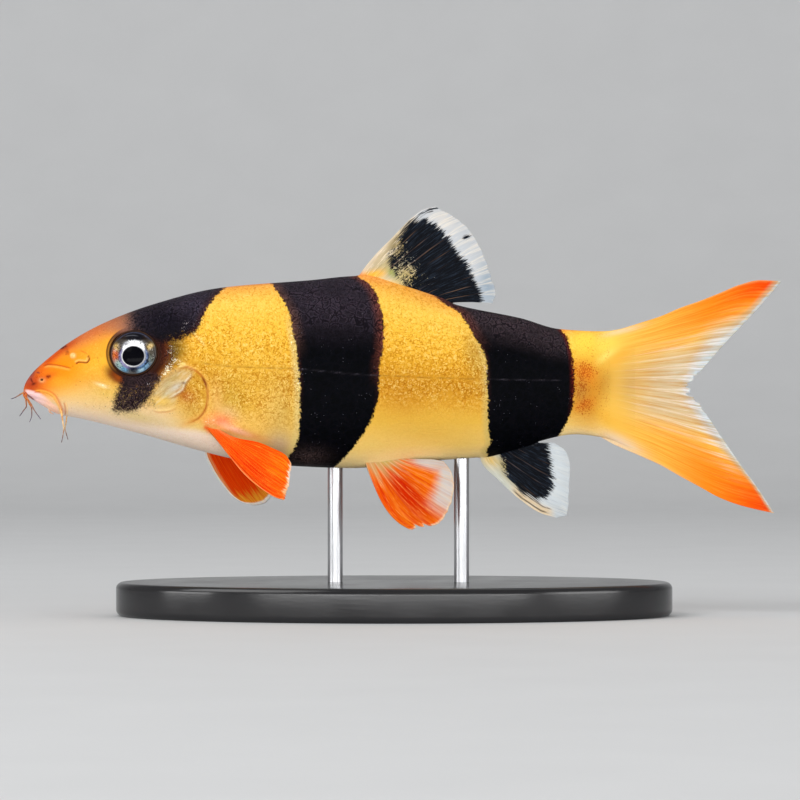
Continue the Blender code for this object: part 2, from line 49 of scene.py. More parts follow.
# The body's outline and section, as in the solids, drawn on into the root of the tail fin
BACK = (
    (0, -0.5), (0.9, 1.6), (2.8, 3.4), (5.1, 5.2), (9.3, 7.6), (15.6, 10), (23.4, 11.9), (34, 12.8),
    (39.8, 13.3), (44.8, 12), (51.9, 9.75), (59, 8.3), (63.7, 7), (68.7, 6.75), (72.6, 7.35),
)
BELLY = (
    (0, -0.5), (0.6, -1.1), (1.4, -1.5), (2.6, -2.25), (3.9, -3), (7.2, -3.7), (13.9, -5.4), (20.9, -7.4),
    (26, -8.6), (32, -9.25), (39, -9.5), (47, -8.7), (54.2, -8.2), (60.5, -6.5), (65.5, -5.5),
    (68.7, -5.85), (72.6, -7.3),
)
HALF_WIDTH = (
    (0, 0), (0.6, 1.15), (1.4, 1.7), (3, 2.45), (5, 3.05), (8, 3.85), (11, 4.5), (14, 5.05), (18, 5.55),
    (24, 6), (32, 6.1), (38, 5.85), (44, 5.25), (50, 4.5), (56, 3.55), (62, 2.5), (66, 1.7), (68.7, 1),
    (71, 0.4), (72.6, 0.05),
)
UPPER_ROUNDNESS = ((0, 2), (5, 2.1), (12, 2.3), (20, 2.05), (30, 1.95), (45, 1.9), (72.6, 2.2))
LOWER_ROUNDNESS = ((0, 2), (4, 2.5), (15, 2.6), (30, 2.5), (45, 2.2), (60, 2), (72.6, 2.2))
WIDEST_SHARE = ((0, 0.5), (5, 0.42), (30, 0.42), (50, 0.46), (72.6, 0.5))
HEAD_END, SKIN_END = 22.0, 72.6
# The skin's rings, which crowd towards the snout by a power
HEAD_RINGS, BODY_RINGS, RING_POINTS, RINGS_CROWD = 360, 300, 480, 1.6

EYE_S, EYE_H = 13.4, 4.1
EYE_RADIUS, EYE_HALF_DEPTH, EYE_SUNK = 2.9, 1.3, 0.46
EYE_TURNED_UP, EYE_TURNED_FORWARD = math.radians(11), math.radians(9)
EYE_WIDER, EYE_LOWER = 1.035, 0.975

# Where the photograph's view is centred, and how far away its camera stood, in millimetres
VIEW_S, VIEW_H, VIEW_AWAY = 44.7, -1.4, 475
FLESH_BLEED = (1.0, 0.45, 0.2)
FOLDS_LEAN = math.radians(-33)


def smooth(points):
    """A curve through (x, value) points with no overshoot, as a function of an array of x."""
    xs, values = np.array(points, float).T
    steps = np.diff(xs)
    rises = np.diff(values) / steps
    slopes = np.concatenate([[rises[0]], np.zeros(len(xs) - 2), [rises[-1]]])
    for k in range(1, len(xs) - 1):
        if rises[k - 1] * rises[k] > 0:
            before, after = 2 * steps[k] + steps[k - 1], steps[k] + 2 * steps[k - 1]
            slopes[k] = (before + after) / (before / rises[k - 1] + after / rises[k])

    def at(x):
        x = np.clip(x, xs[0], xs[-1])
        k = np.clip(np.searchsorted(xs, x, side="right") - 1, 0, len(xs) - 2)
        t = (x - xs[k]) / steps[k]
        bend = slopes[k] * (1 - t) - slopes[k + 1] * t
        chord = rises[k] * (1 - 2 * t)
        return values[k] + rises[k] * steps[k] * t + steps[k] * t * (1 - t) * (bend - chord)

    return at


def blunt(points):
    """As smooth, but along the root of x, so that the line is round where it starts."""
    line = smooth([(math.sqrt(x), value) for x, value in points])
    return lambda x: line(np.sqrt(np.maximum(x, 0.0)))


def path(*points):
    """A smooth curve through points, as a function of an array of 0 to 1."""
    points = np.array(points, float)
    run = np.concatenate([[0], np.cumsum(np.linalg.norm(np.diff(points, axis=0), axis=1))])
    lines = [smooth(list(zip(run / run[-1], column))) for column in points.T]
    return lambda t: np.stack([line(np.asarray(t, float)) for line in lines], -1)


def ease(x, low, high):
    """0 below low, 1 above high and smooth between; low may be the greater."""
    t = np.clip((x - low) / (high - low), 0, 1)
    return t * t * (3 - 2 * t)


def bump(x, width):
    return np.exp(-((x / width) ** 2))


back, belly, half_width = blunt(BACK), blunt(BELLY), blunt(HALF_WIDTH)
upper_roundness, lower_roundness = smooth(UPPER_ROUNDNESS), smooth(LOWER_ROUNDNESS)
widest_share = smooth(WIDEST_SHARE)


def rings(stations, count):
    """The cross-sections at the stations as an array (station, point, (s, y, h))."""
    s = np.asarray(stations, float)[:, None]
    angle = 2 * np.pi * np.arange(count)[None] / count
    across, up = np.cos(angle), np.sin(angle)
    top, low = back(s), belly(s)
    middle = low + widest_share(s) * (top - low)
    power = 2 / np.where(up > 0, upper_roundness(s), lower_roundness(s))
    reach = np.where(up > 0, top - middle, middle - low)
    y = np.sign(across) * half_width(s) * np.abs(across) ** power
    h = middle + np.sign(up) * reach * np.abs(up) ** power
    return np.stack([np.broadcast_to(s, y.shape), y, h], -1)


def flank(s, h):
    """How far the body's surface is from its middle plane at s and h."""
    top, low = back(s), belly(s)
    middle = low + widest_share(s) * (top - low)
    share = np.where(h > middle, (h - middle) / (top - middle), (middle - h) / (middle - low))
    roundness = np.where(h > middle, upper_roundness(s), lower_roundness(s))
    return half_width(s) * (1 - np.clip(share, 0, 1) ** roundness) ** (1 / roundness)


def to_world(points):
    points = np.asarray(points, float)
    return (points + (-SNOUT_AHEAD, 0, AXIS_HEIGHT)) * 0.001


def along(points, s, h):
    """Distance of each place from a drawn line of (s, h) points, how far along it that is from 0 to
    1, and the same distance signed: positive on the line's left hand as it is drawn."""
    points = np.array(points, float)
    runs = np.linalg.norm(np.diff(points, axis=0), axis=1)
    starts = np.concatenate([[0], np.cumsum(runs)])
    near = np.full(s.shape, 1e9)
    where, sign = np.zeros(s.shape), np.ones(s.shape)
    for k, (a, b) in enumerate(zip(points[:-1], points[1:])):
        ds, dh = b - a
        t = np.clip(((s - a[0]) * ds + (h - a[1]) * dh) / (runs[k] ** 2), 0, 1)
        gap = np.hypot(s - a[0] - t * ds, h - a[1] - t * dh)
        closer = gap < near
        near = np.where(closer, gap, near)
        where = np.where(closer, (starts[k] + t * runs[k]) / starts[-1], where)
        sign = np.where(closer, np.sign(ds * (h - a[1]) - dh * (s - a[0])), sign)
    return near, where, near * np.where(sign == 0, 1, sign)


def curved(*points, count=24):
    """A drawn line rounded into more points."""
    return path(*points)(np.linspace(0, 1, count))


def depth_inside(outline, s, h):
    """Distance to a closed outline, positive inside it."""
    outline = list(outline) + [outline[0]]
    near, _, _ = along(outline, s, h)
    inside = np.zeros(s.shape, bool)
    for (s0, h0), (s1, h1) in zip(outline[:-1], outline[1:]):
        if h0 != h1:
            inside ^= ((h0 > h) != (h1 > h)) & (s < (s1 - s0) * (h - h0) / (h1 - h0) + s0)
    return np.where(inside, near, -near)


def colour(red, green, blue):
    """Screen values of 0 to 255 as the linear numbers that shaders take."""
    values = np.array((red, green, blue)) / 255
    return np.where(values <= 0.04045, values / 12.92, ((values + 0.055) / 1.055) ** 2.4)


def blend(base, over, share):
    return base + (over - base) * share[..., None]


def ramp(x, *stops):
    """A colour for each x from (x, screen colour) stops."""
    places = [place for place, _ in stops]
    tones = np.array([colour(*tone) for _, tone in stops])
    return np.stack([np.interp(x, places, tones[:, k]) for k in range(3)], -1)


def taper(where, ends):
    """Fades a line that runs from 0 to 1 in and out over its ends."""
    return ease(where, 0.0, ends) * ease(where, 1.0, 1.0 - ends)


def outward(points, quads):
    """The quads of a closed mesh, all turned to face outwards."""
    fourth = np.where(quads[:, 3] < 0, quads[:, 2], quads[:, 3])
    a, b, c, d = points[quads[:, 0]], points[quads[:, 1]], points[quads[:, 2]], points[fourth]
    if (a * (np.cross(b, c) + np.cross(c, d))).sum() > 0:
        return quads
    return np.where(quads[:, 3:] < 0, quads[:, [0, 2, 1, 3]], quads[:, ::-1])


def build_mesh(name, points, quads, finish, shades=(), numbers=()):
    """A smooth closed piece from its points in metres and its quads, where -1 makes a triangle."""
    quads = outward(points, quads)
    mesh = bpy.data.meshes.new(name)
    mesh.vertices.add(len(points))
    mesh.vertices.foreach_set("co", np.asarray(points, np.float32).ravel())
    sizes = np.where(quads[:, 3] < 0, 3, 4).astype(np.int32)
    flat = quads[quads >= 0].astype(np.int32)
    mesh.loops.add(len(flat))
    mesh.loops.foreach_set("vertex_index", flat)
    mesh.polygons.add(len(quads))
    mesh.polygons.foreach_set("loop_start", np.concatenate([[0], np.cumsum(sizes)[:-1]]).astype(np.int32))
    mesh.polygons.foreach_set("loop_total", sizes)
    mesh.update(calc_edges=True)
    mesh.validate()
    mesh.polygons.foreach_set("use_smooth", np.ones(len(mesh.polygons), bool))
    for label, values in dict(shades).items():
        made = mesh.attributes.new(label, "FLOAT_COLOR", "POINT")
        full = np.concatenate([np.clip(values, 0, 1), np.ones((len(values), 1))], 1)
        made.data.foreach_set("color", full.astype(np.float32).ravel())
    for label, values in dict(numbers).items():
        kind, key = ("FLOAT_VECTOR", "vector") if np.ndim(values) == 2 else ("FLOAT", "value")
        made = mesh.attributes.new(label, kind, "POINT")
        made.data.foreach_set(key, np.asarray(values, np.float32).ravel())
    mesh.materials.append(finish)
    piece = bpy.data.objects.new(name, mesh)
    bpy.context.scene.collection.objects.link(piece)
    return piece


def wrap_quads(rows, cols):
    """Quads of a tube of rows by cols points whose columns close on themselves."""
    row, col = np.meshgrid(np.arange(rows - 1), np.arange(cols), indexing="ij")
    a = row * cols + col
    b = row * cols + (col + 1) % cols
    return np.stack([a, a + cols, b + cols, b], -1).reshape(-1, 4)


def cap_fan(rows, cols):
    """Triangles that close such a tube onto two points that follow its own, at its start and end."""
    k, none = np.arange(cols), np.full(cols, -1)
    turned, last = (k + 1) % cols, (rows - 1) * cols
    first = np.stack([np.full(cols, rows * cols), k, turned, none], -1)
    final = np.stack([last + turned, last + k, np.full(cols, rows * cols + 1), none], -1)
    return np.concatenate([first, final])


class Value:
    """A node's output. Its sums, differences and products with others or with numbers make nodes."""

    def __init__(self, look, socket):
        self.look, self.socket = look, socket

    def __add__(self, other):
        return self.look.maths("ADD", self, other)

    def __sub__(self, other):
        return self.look.maths("SUBTRACT", self, other)

    def __mul__(self, other):
        return self.look.maths("MULTIPLY", self, other)

    def step(self, low, high, to_low=0.0, to_high=1.0):
        """A smooth rise or fall between two levels."""
        inputs = {"Value": self, "From Min": low, "From Max": high, "To Min": to_low, "To Max": to_high}
        return self.look.node("ShaderNodeMapRange", inputs, interpolation_type="SMOOTHSTEP")

    def stretched(self, *factors):
        return self.look.vector("MULTIPLY", {0: self, 1: factors})


class Shader:
    """Builds one material's nodes. Inputs are given by name, as numbers or as other nodes' values."""

    def __init__(self, name):
        self.material = bpy.data.materials.new(name)
        self.material.use_nodes = True
        self.tree = self.material.node_tree
        self.surface = self.tree.nodes["Principled BSDF"]

    def put(self, node, inputs):
        for key, value in inputs.items():
            socket = key if isinstance(key, bpy.types.NodeSocket) else node.inputs[key]
            if isinstance(value, Value):
                self.tree.links.new(value.socket, socket)
            elif socket.type == "RGBA" and len(value) == 3:
                socket.default_value = (*value, 1)
            else:
                socket.default_value = value

    def node(self, kind, inputs=(), output=0, **settings):
        made = self.tree.nodes.new(kind)
        for key, value in settings.items():
            setattr(made, key, value)
        self.put(made, dict(inputs))
        return Value(self, made.outputs[output])

    def read(self, name, output="Fac"):
        return self.node("ShaderNodeAttribute", output=output, attribute_name=name)

    def maths(self, operation, a, b=0.0):
        return self.node("ShaderNodeMath", {0: a, 1: b}, operation=operation)

    def vector(self, operation, inputs):
        return self.node("ShaderNodeVectorMath", inputs, operation=operation)

    def place(self, scale=1000.0):
        """The place on the object, in millimetres by default."""
        where = self.node("ShaderNodeTexCoord", output="Object")
        return self.vector("SCALE", {0: where, "Scale": scale})

    def noise(self, where, scale, detail=2.0, rough=0.5, twist=0.0, output="Fac"):
        inputs = {
            "Vector": where, "Scale": scale, "Detail": detail, "Roughness": rough, "Distortion": twist,
        }
        return self.node("ShaderNodeTexNoise", inputs, output)

    def cells(self, where, scale, feature="F1"):
        return self.node(
            "ShaderNodeTexVoronoi", {"Vector": where, "Scale": scale}, "Distance", feature=feature,
        )

    def mix(self, share, a, b, how="MIX"):
        made = self.tree.nodes.new("ShaderNodeMix")
        made.data_type = "RGBA"
        made.blend_type = how
        made.clamp_factor = True
        ends = [socket for socket in made.inputs if socket.type == "RGBA"]
        self.put(made, {"Factor": share, ends[0]: a, ends[1]: b})
        return Value(self, next(socket for socket in made.outputs if socket.type == "RGBA"))

    def dye(self, under, *tone):
        """A colour seen through a tint that is given as a screen colour."""
        return self.mix(1.0, under, colour(*tone), "MULTIPLY")

    def relief(self, height, depth):
        """Bumps of a depth in millimetres."""
        return self.node("ShaderNodeBump", {"Height": height, "Distance": depth * 0.001, "Strength": 1.0})

    def finish(self, **inputs):
        self.put(self.surface, {key.replace("_", " "): value for key, value in inputs.items()})
        return self.material


MIDDLE_BAND_FRONT = smooth((
    (-10, 31), (-8.2, 31.4), (-7.4, 32), (-5.7, 32.6), (-2.4, 32.8), (0.1, 32.8), (2.5, 32.6), (4.9, 32.35),
    (6.65, 32), (8.9, 31.5), (10.7, 30.6), (12.3, 29.5), (14, 28.6),
))
MIDDLE_BAND_REAR = smooth((
    (-10, 36.4), (-9.3, 37), (-8.4, 38), (-6.4, 39.7), (-4.75, 40.8), (-2.4, 41.8), (0.1, 42.2),
    (2.5, 42.3), (4.9, 42.75), (7.4, 42.8), (10, 42.3), (11, 42), (12.5, 40.9), (13.2, 39.7), (14, 38.6),
))
REAR_BAND_FRONT = smooth((
    (-9, 55.2), (-8, 55.1), (-7.45, 54.9), (-6.5, 55.4), (-5.1, 55.2), (-3.5, 55.1), (-1.1, 55.1),
    (1.3, 55), (3.2, 54.9), (4.8, 54.3), (6.05, 53.5), (7.6, 52.6), (9.2, 51.4), (9.85, 50.1), (11.5, 47.5),
))
REAR_BAND_REAR = smooth((
    (-7, 62.3), (-5.4, 63.75), (-4.4, 64.3), (-3.5, 64.8), (-1.9, 65.3), (-0.3, 65.4), (1.3, 65.4),
    (3, 65.3), (4.95, 64.9), (6.05, 64.5), (7, 63.75), (8.3, 62.4),
))
HEAD_BAND = (
    (9, 14), (23.2, 14), (24.1, 12), (22.8, 10.8), (21.9, 9.7), (21.4, 8.6), (21, 7.6), (20.5, 6.8),
    (19.8, 6.2), (18.6, 5.6), (17.4, 5.3), (16.4, 5), (15.2, 5.4), (13.6, 6.4), (12, 6.5), (9.5, 6.8),
    (9, 9),
)
CHEEK_PATCH = (
    (12.2, 1.6), (11.6, 0.6), (11.2, -0.3), (10.8, -1.5), (10.7, -2.6), (12, -2.85), (13.4, -2.6),
    (14.2, -2), (15, -1.1), (15.6, 0), (16.2, 1.2), (16, 1.6), (14.4, 1.8),
)
GILL_EDGE = curved(
    (18.25, 2.5), (19.06, 2.57), (19.8, 2.41), (20.46, 2.03), (21, 1.6), (21.43, 1), (21.74, 0.15),
    (21.86, -0.9), (21.7, -2.15), (21.15, -3.2), (20.25, -3.9), (19.3, -4.25),
)
GILL_TOP = curved((18.2, 2.5), (19.06, 2.6), (19.8, 2.42), (20.5, 2))
GILL_PLATE = curved(
    (20.15, 1.95), (19.9, 1.3), (19.45, 0.8), (19.2, 0.3), (19.05, -0.15), (18.6, -0.55), (18, -0.9),
    (17, -1.4),
)
GILL_FOIL = curved(
    (17.4, 1.9), (18.3, 2.35), (19.2, 2.25), (20.15, 1.95), (19.85, 1.3), (19.5, 0.75), (19.2, 0.3),
    (19.05, -0.15), (18.6, -0.55), (18.2, -1), (18.2, -1.6), (17.6, -2.1), (16.4, -2.35), (15.4, -2.1),
    (14.9, -1.4), (15.3, -0.5), (16.2, 0.7),
)
GILL_RIM = curved((15.2, -2.3), (16, -2.65), (17, -2.6), (17.7, -2.4), (18.2, -2.1))
MOUTH_LINE = ((0.2, -0.75), (4.6, -2.35))
LIP_FOLD = curved(
    (1.2, -0.45), (1.96, -0.36), (2.75, -0.52), (3.54, -1), (4.1, -1.82), (4.42, -2.61), (4.55, -3.3),
)
LIP_LOBE = curved((3.6, -0.95), (4.2, -1.7), (4.5, -2.5), (4.62, -3.3))
LIP_CREASE = curved((4.88, -1.6), (5.06, -2.4), (5.1, -3.3))
LIP_EDGE = curved(
    (0.08, -0.12), (1.17, -0.36), (1.96, -0.63), (2.75, -1.13), (3.54, -1.82), (4.04, -2.32), (4.3, -3.2),
)
SNOUT_WRINKLE = curved((2.2, 2.55), (3, 2.8), (4.1, 2.7), (5, 2.5), (5.8, 2.3))
SNOUT_CREASE = curved((2.4, 2.8), (3.7, 3.8), (4.6, 4.5))
SPINE_SLIT = curved((8.9, 0.75), (10.5, 0.15), (13, 0.05), (15.4, 0.35))
SHOULDER_LINE = curved((18.2, 9), (18.6, 8.3), (19.4, 7.2), (20.4, 6.2), (21.6, 4.9))
LATERAL_LINE = curved((20.3, 3.1), (24.4, 2.6), (32, 2.3), (40, 1.6), (55, 1.05), (64, 0.9))
NOSTRIL_FRONT = (5.9, 3.8)
NOSTRIL_REAR = curved((6.15, 2.85), (6.6, 3.1), (7.45, 3.03), (7.75, 3.35), (7.82, 3.7))
throat = smooth((
    (0, -9), (3.5, -3.4), (6, -3.5), (10, -4.1), (14, -4.6), (20, -5), (24, -6.2), (28, -7.3), (32, -8.3),
    (36, -9.4), (40, -10.5),
))


def as_drawn(s, y, h):
    """Places on the flank as they were measured on a flat side view, where what stands out from the
    middle plane is a little larger than the outline."""
    larger = 1 + np.abs(y) / VIEW_AWAY
    return VIEW_S + (s - VIEW_S) * larger, VIEW_H + (h - VIEW_H) * larger


def from_eye(s, h):
    """Distance from the middle of the eye, whose opening is a little wider than it is high."""
    return np.hypot((s - EYE_S) / EYE_WIDER, (h - EYE_H) / EYE_LOWER)


def skin_relief(s, y, h):
    """How far the fine forms of the skin stand out, in millimetres."""
    out = np.zeros(s.shape)
    side = ease(np.abs(y), 0.3, 1.2)
    eye = from_eye(s, h)
    s, h = as_drawn(s, y, h)

    def ridge(points, width, height, ends=0.15, shift=0.0, reach=9.0):
        nonlocal out
        near, where, signed = along(points, s, h)
        close = ease(near, reach, 0.6 * reach)
        out += height * bump(signed - shift, width) * taper(where, ends) * close * side

    # Orbit: the skin dips under the eyeball inside a double low rim
    out -= 1.5 * ease(eye, 2.78, 2.56)
    out += 0.1 * bump(eye - 2.84, 0.1) - 0.03 * bump(eye - 3.0, 0.07) + 0.05 * bump(eye - 3.14, 0.1)
    # Gill cover: a plate under a thin skin, its rear edge standing clear
    near, where, signed = along(GILL_EDGE, s, h)
    faded = ease(where, 0.0, 0.12) * ease(where, 0.98, 0.7)
    out += faded * np.where(signed < 0, 0.16 * np.exp(near / -2.2), -0.08 * bump(near, 0.2)) * side
    near, where, signed = along(GILL_PLATE, s, h)
    out += 0.07 * np.where(signed < 0, np.exp(near / -0.8), 0) * taper(where, 0.1) * side
    ridge(GILL_RIM, 0.14, 0.05)
    ridge(GILL_TOP, 0.12, 0.1)
    # Cheek, brow and snout
    out += 0.16 * spot(s, h, 12.2, -0.6, 3.2, 1.6) * side
    out -= 0.1 * spot(s, h, 9.4, 3.3, 1.4, 1.6) * side
    ridge(SPINE_SLIT, 0.13, 0.05, shift=-0.16)
    ridge(SPINE_SLIT, 0.09, -0.05)
    ridge(SNOUT_WRINKLE, 0.15, 0.06, shift=0.16)
    ridge(SNOUT_WRINKLE, 0.08, -0.06)
    ridge(SNOUT_CREASE, 0.1, -0.04)
    # Nostrils: a round opening with a raised rim, and behind it a flap over a slit
    hole = np.hypot(s - NOSTRIL_FRONT[0], h - NOSTRIL_FRONT[1])
    out += (0.14 * bump(hole - 0.26, 0.14) - 0.16 * bump(hole, 0.13)) * side
    ridge(NOSTRIL_REAR, 0.16, 0.07, 0.12, 0.19, 0.8)
    ridge(NOSTRIL_REAR, 0.08, -0.08, 0.12, -0.03, 0.8)
    pore = np.hypot(s - 2.2, h - 1.0)
    out += (0.07 * bump(pore - 0.25, 0.12) - 0.2 * bump(pore, 0.12)) * side
    # Mouth: the lips meet in a soft line under the fold that runs down into the barbel
    (s0, h0), (s1, h1) = MOUTH_LINE
    level = h0 + (h1 - h0) * (s - s0) / (s1 - s0)
    rise = (h - level) * math.cos(math.atan2(h0 - h1, s1 - s0))
    mouth = ease(s, 4.6, 3.4)
    lips = 0.05 * bump(rise - 0.3, 0.26) + 0.05 * bump(rise + 0.34, 0.26) - 0.025 * bump(rise, 0.1)
    out += mouth * lips
    near, where, signed = along(LIP_FOLD, s, h)
    hem = ease(where, 0.0, 0.3) * ease(near, 0.9, 0.5) * ease(s, 0.8, 1.8)
    out += (0.12 * bump(signed - 0.1, 0.18) - 0.05 * bump(signed + 0.16, 0.12)) * hem
    ridge(LIP_LOBE, 0.26, 0.13)
    ridge(LIP_CREASE, 0.1, -0.08)
    # Shoulder, lateral line, muscle and the roots of the fins
    ridge(SHOULDER_LINE, 0.12, -0.05)
    ridge(SHOULDER_LINE, 0.14, 0.05, shift=0.2)
    ridge(LATERAL_LINE, 0.1, -0.03, 0.03)
    chevron = s + 0.42 * np.abs(h - 1.5)
    out += 0.006 * np.sin(chevron * 2 * np.pi / 1.75) * ease(s, 22, 27) * ease(np.abs(y), 1.0, 3.0)
    out += 0.42 * spot(s, h, 22.3, -3.9, 1.1, 0.85) * side
    out += 0.26 * spot(s, h, 24.6, -4.75, 1.9, 0.6) * side
    knots = np.sin(s * 15 + 3 * np.sin(h * 4)) * np.sin(h * 14 - 2 * np.sin(s * 5))
    out += 0.06 * knots * spot(s, h, 22.2, -3.9, 0.8, 0.7) * side
    out += 0.3 * bump(y, 0.8) * ease(s, 39.2, 40.8) * ease(s, 51.5, 49.5) * (h > 0)
    out += 0.25 * bump(y, 0.7) * ease(s, 53.6, 55.0) * ease(s, 61.5, 59.8) * (h < 0)
    out += 0.25 * bump(np.hypot((s - 42.3) / 2.2, (np.abs(y) - 1.8) / 0.9), 1.0) * (h < -5)
    return out


def spot(s, h, at_s, at_h, long, high, turn=0.0, firm=1.0):
    """1 in the middle of a soft oval, turned by degrees, and 0 far from it; firm flattens its top."""
    ds, dh = s - at_s, h - at_h
    cos, sin = math.cos(math.radians(turn)), math.sin(math.radians(turn))
    reach = np.hypot((ds * cos + dh * sin) / long, (dh * cos - ds * sin) / high)
    return np.exp(-reach ** (2 * firm))


def spots(s, h, base, *rows):
    """The strongest of base and some spots, each given by its strength and then as for spot."""
    for strength, *oval in rows:
        base = np.maximum(base, strength * spot(s, h, *oval))
    return base


class Paint:
    """Colours laid one over another on places of the flank: washes and strokes of plain tones."""

    def __init__(self, s, h, tint):
        self.s, self.h = s, h
        self.tint = np.zeros(s.shape + (3,)) + (colour(*tint) if isinstance(tint, tuple) else tint)

    def over(self, tone, share):
        self.tint = blend(self.tint, colour(*tone), np.clip(share, 0, 1))

    def washes(self, *rows):
        """Soft ovals: red, green, blue, s, h, half length, half height, strength, turn and firmness."""
        for row in rows:
            strength = row[7] if len(row) > 7 else 1.0
            self.over(row[:3], strength * spot(self.s, self.h, *row[3:7], *row[8:]))

    def strokes(self, *rows):
        """Soft lines: colour, points or a curve, half width, strength, how much of each end fades, and
        how far to the line's left hand it is shifted."""
        for tone, points, width, strength, *more in rows:
            ends, shift = (*more, *(0.15, 0.0)[len(more):])
            line = curved(*points) if isinstance(points, tuple) else points
            near, where, signed = along(line, self.s, self.h)
            close = near < 4 * width + abs(shift)
            self.over(tone, strength * bump(signed - shift, width) * taper(where, ends) * close)


def skin_paint(s, y, h):
    """The skin's colours and the numbers that steer its finer pattern."""
    top, low = back(s), belly(s)
    level = np.clip((h - low) / np.maximum(top - low, 0.01), 0, 1)
    eye = from_eye(s, h)
    turn = np.degrees(np.arctan2(h - EYE_H, s - EYE_S))
    s, h = as_drawn(s, y, h)
    trunk = ramp(
        level, (0, (250, 224, 166)), (0.1, (243, 206, 116)), (0.24, (229, 182, 74)), (0.36, (222, 166, 54)),
        (0.46, (208, 150, 40)), (0.58, (226, 170, 48)), (0.74, (241, 188, 64)), (0.9, (248, 200, 84)),
        (0.985, (250, 176, 76)), (1, (240, 150, 80)),
    )
    head = ramp(
        level, (0, (240, 218, 200)), (0.16, (232, 202, 158)), (0.3, (224, 182, 104)),
        (0.45, (232, 168, 62)), (0.62, (250, 180, 54)), (0.8, (244, 164, 50)), (0.95, (214, 126, 70)),
        (1, (172, 102, 78)),
    )
    paint = Paint(s, h, blend(trunk, head, ease(s, 21.5, 15.5)))

    # Flank
    paint.washes(
        (190, 150, 54, 24.6, -1.2, 2.4, 2.2, 0.7, -15), (194, 164, 88, 30.4, -3.2, 1.9, 4.2, 0.7),
        (230, 186, 100, 26.5, -4, 4, 1, 0.5), (216, 134, 56, 26.6, -5.6, 3.6, 0.6, 0.75, -14),
        (192, 164, 130, 30.4, -6.8, 1.6, 1.5, 0.85, -30), (198, 134, 32, 45.2, -0.8, 3, 2.6, 0.6),
        (204, 144, 38, 51.5, 0.4, 4.4, 2.4, 0.5), (188, 146, 60, 53.6, 3.8, 1.3, 3, 0.8, 15),
        (230, 186, 96, 29.4, -1.6, 1.6, 1.6, 0.5), (238, 194, 76, 27.4, 2.2, 4.6, 4, 0.4),
        (216, 166, 58, 48.6, -5.3, 6, 1.6, 0.5, -3), (222, 178, 70, 52.4, -7.2, 3.6, 1.2, 0.3),
        (246, 180, 66, 44.6, 12.3, 4, 1.2, 0.7, -15), (250, 160, 80, 41.6, 12.9, 2.4, 0.5, 0.6, -12),
        (252, 214, 78, 66.6, 5.2, 2, 2, 0.9), (210, 140, 40, 67.4, -1, 2.8, 4.2, 0.85),
        (186, 130, 54, 66.2, -0.4, 0.9, 2, 0.7), (228, 124, 32, 66.8, 1.9, 1.9, 1.1, 0.6, -35),
        (216, 120, 32, 66.5, -2, 1.5, 0.7, 0.55, 25), (228, 206, 160, 68, -5.9, 2.4, 0.5, 0.8, -14),
    )
    # Snout
    off_top = ease(np.abs(y), 0.2, 0.6)
    paint.washes(
        (250, 144, 16, 4.4, 2.2, 3.3, 2.3, 1, 40, 1.3), (244, 118, 18, 1.9, 0.9, 2.4, 1.7, 0.9, 35, 1.4),
        (214, 116, 62, 8.4, 7, 4.4, 0.9, 0.9, 31), (184, 62, 26, 0.9, 0.5, 1.7, 1.3, 0.97, 50, 1.2),
        (160, 74, 60, 0.8, 1.5, 1.2, 0.5, 0.8, 60), (204, 58, 12, 2.9, 1.3, 1, 0.42, 0.9, 20),
        (222, 80, 16, 3.2, 3.4, 2.4, 0.55, 0.8, 46), (198, 74, 26, 5.2, 4.9, 1.8, 0.4, 0.8, 36),
        (248, 164, 40, 4.6, 0.6, 2, 0.8, 0.6, -20), (150, 84, 80, 0.9, 1.7, 0.9, 0.26, 0.7, 60),
    )
    paint.strokes(
        ((104, 54, 54), ((0.5, 1), (1.6, 2.6), (3.4, 4.2), (6, 6.1)), 0.3, 0.75, 0.15, 0.1),
        ((54, 14, 26), ((4.2, 4.62), (4.8, 4.85), (5.25, 5.15)), 0.15, 0.95 * off_top, 0.3),
        ((96, 28, 20), ((0.85, 1.3), (0.95, 0.95), (1.15, 0.55)), 0.1, 0.9, 0.3),
    )
    paint.washes((88, 18, 10, 1.2, 0.5, 0.3, 0.16, 0.9, 20))
    paint.strokes(
        ((110, 44, 60), ((1.5, 1.75), (1.75, 1.85), (1.95, 1.65)), 0.1, 0.8, 0.3),
        ((176, 56, 8), SNOUT_WRINKLE, 0.09, 0.75), ((255, 190, 90), SNOUT_WRINKLE, 0.14, 0.5, 0.15, -0.2),
        ((200, 74, 18), SNOUT_CREASE, 0.1, 0.6),
        ((190, 70, 16), ((4.75, 4.9), (5.1, 4.7), (5.3, 4.4)), 0.09, 0.7, 0.3),
        ((190, 70, 16), ((4.9, 4.3), (5.2, 4.1), (5.45, 3.9)), 0.09, 0.7, 0.3),
        ((196, 84, 30), ((6.6, 4.5), (7.1, 4.3), (7.7, 4)), 0.08, 0.5, 0.3),
    )
    paint.washes((255, 206, 140, 2.2, 0.9, 0.34, 0.26, 0.6), (50, 6, 6, 2.16, 0.98, 0.16, 0.14, 1, 0, 2))
    paint.strokes(
        ((124, 26, 8), ((2.6, 1.3), (3, 1.38), (3.35, 1.42)), 0.16, 0.8, 0.3),
        ((124, 26, 8), ((2.7, 1.5), (2.95, 1.3), (3, 1.05)), 0.08, 0.6, 0.3),
    )
    # Nostrils
    paint.washes(
        (255, 224, 160, 5.92, 3.82, 0.3, 0.3, 0.9, 0, 1.5), (150, 56, 20, 5.25, 4.3, 0.24, 0.13, 0.8, -40),
        (150, 56, 20, 5.05, 4, 0.12, 0.1, 0.6),
    )
    paint.strokes(
        ((255, 206, 120), NOSTRIL_REAR, 0.12, 0.6, 0.1, 0.2),
        ((124, 34, 10), NOSTRIL_REAR, 0.08, 0.95, 0.06, -0.02),
    )
    paint.washes((120, 50, 20, 7.72, 3.75, 0.13, 0.16, 0.8))
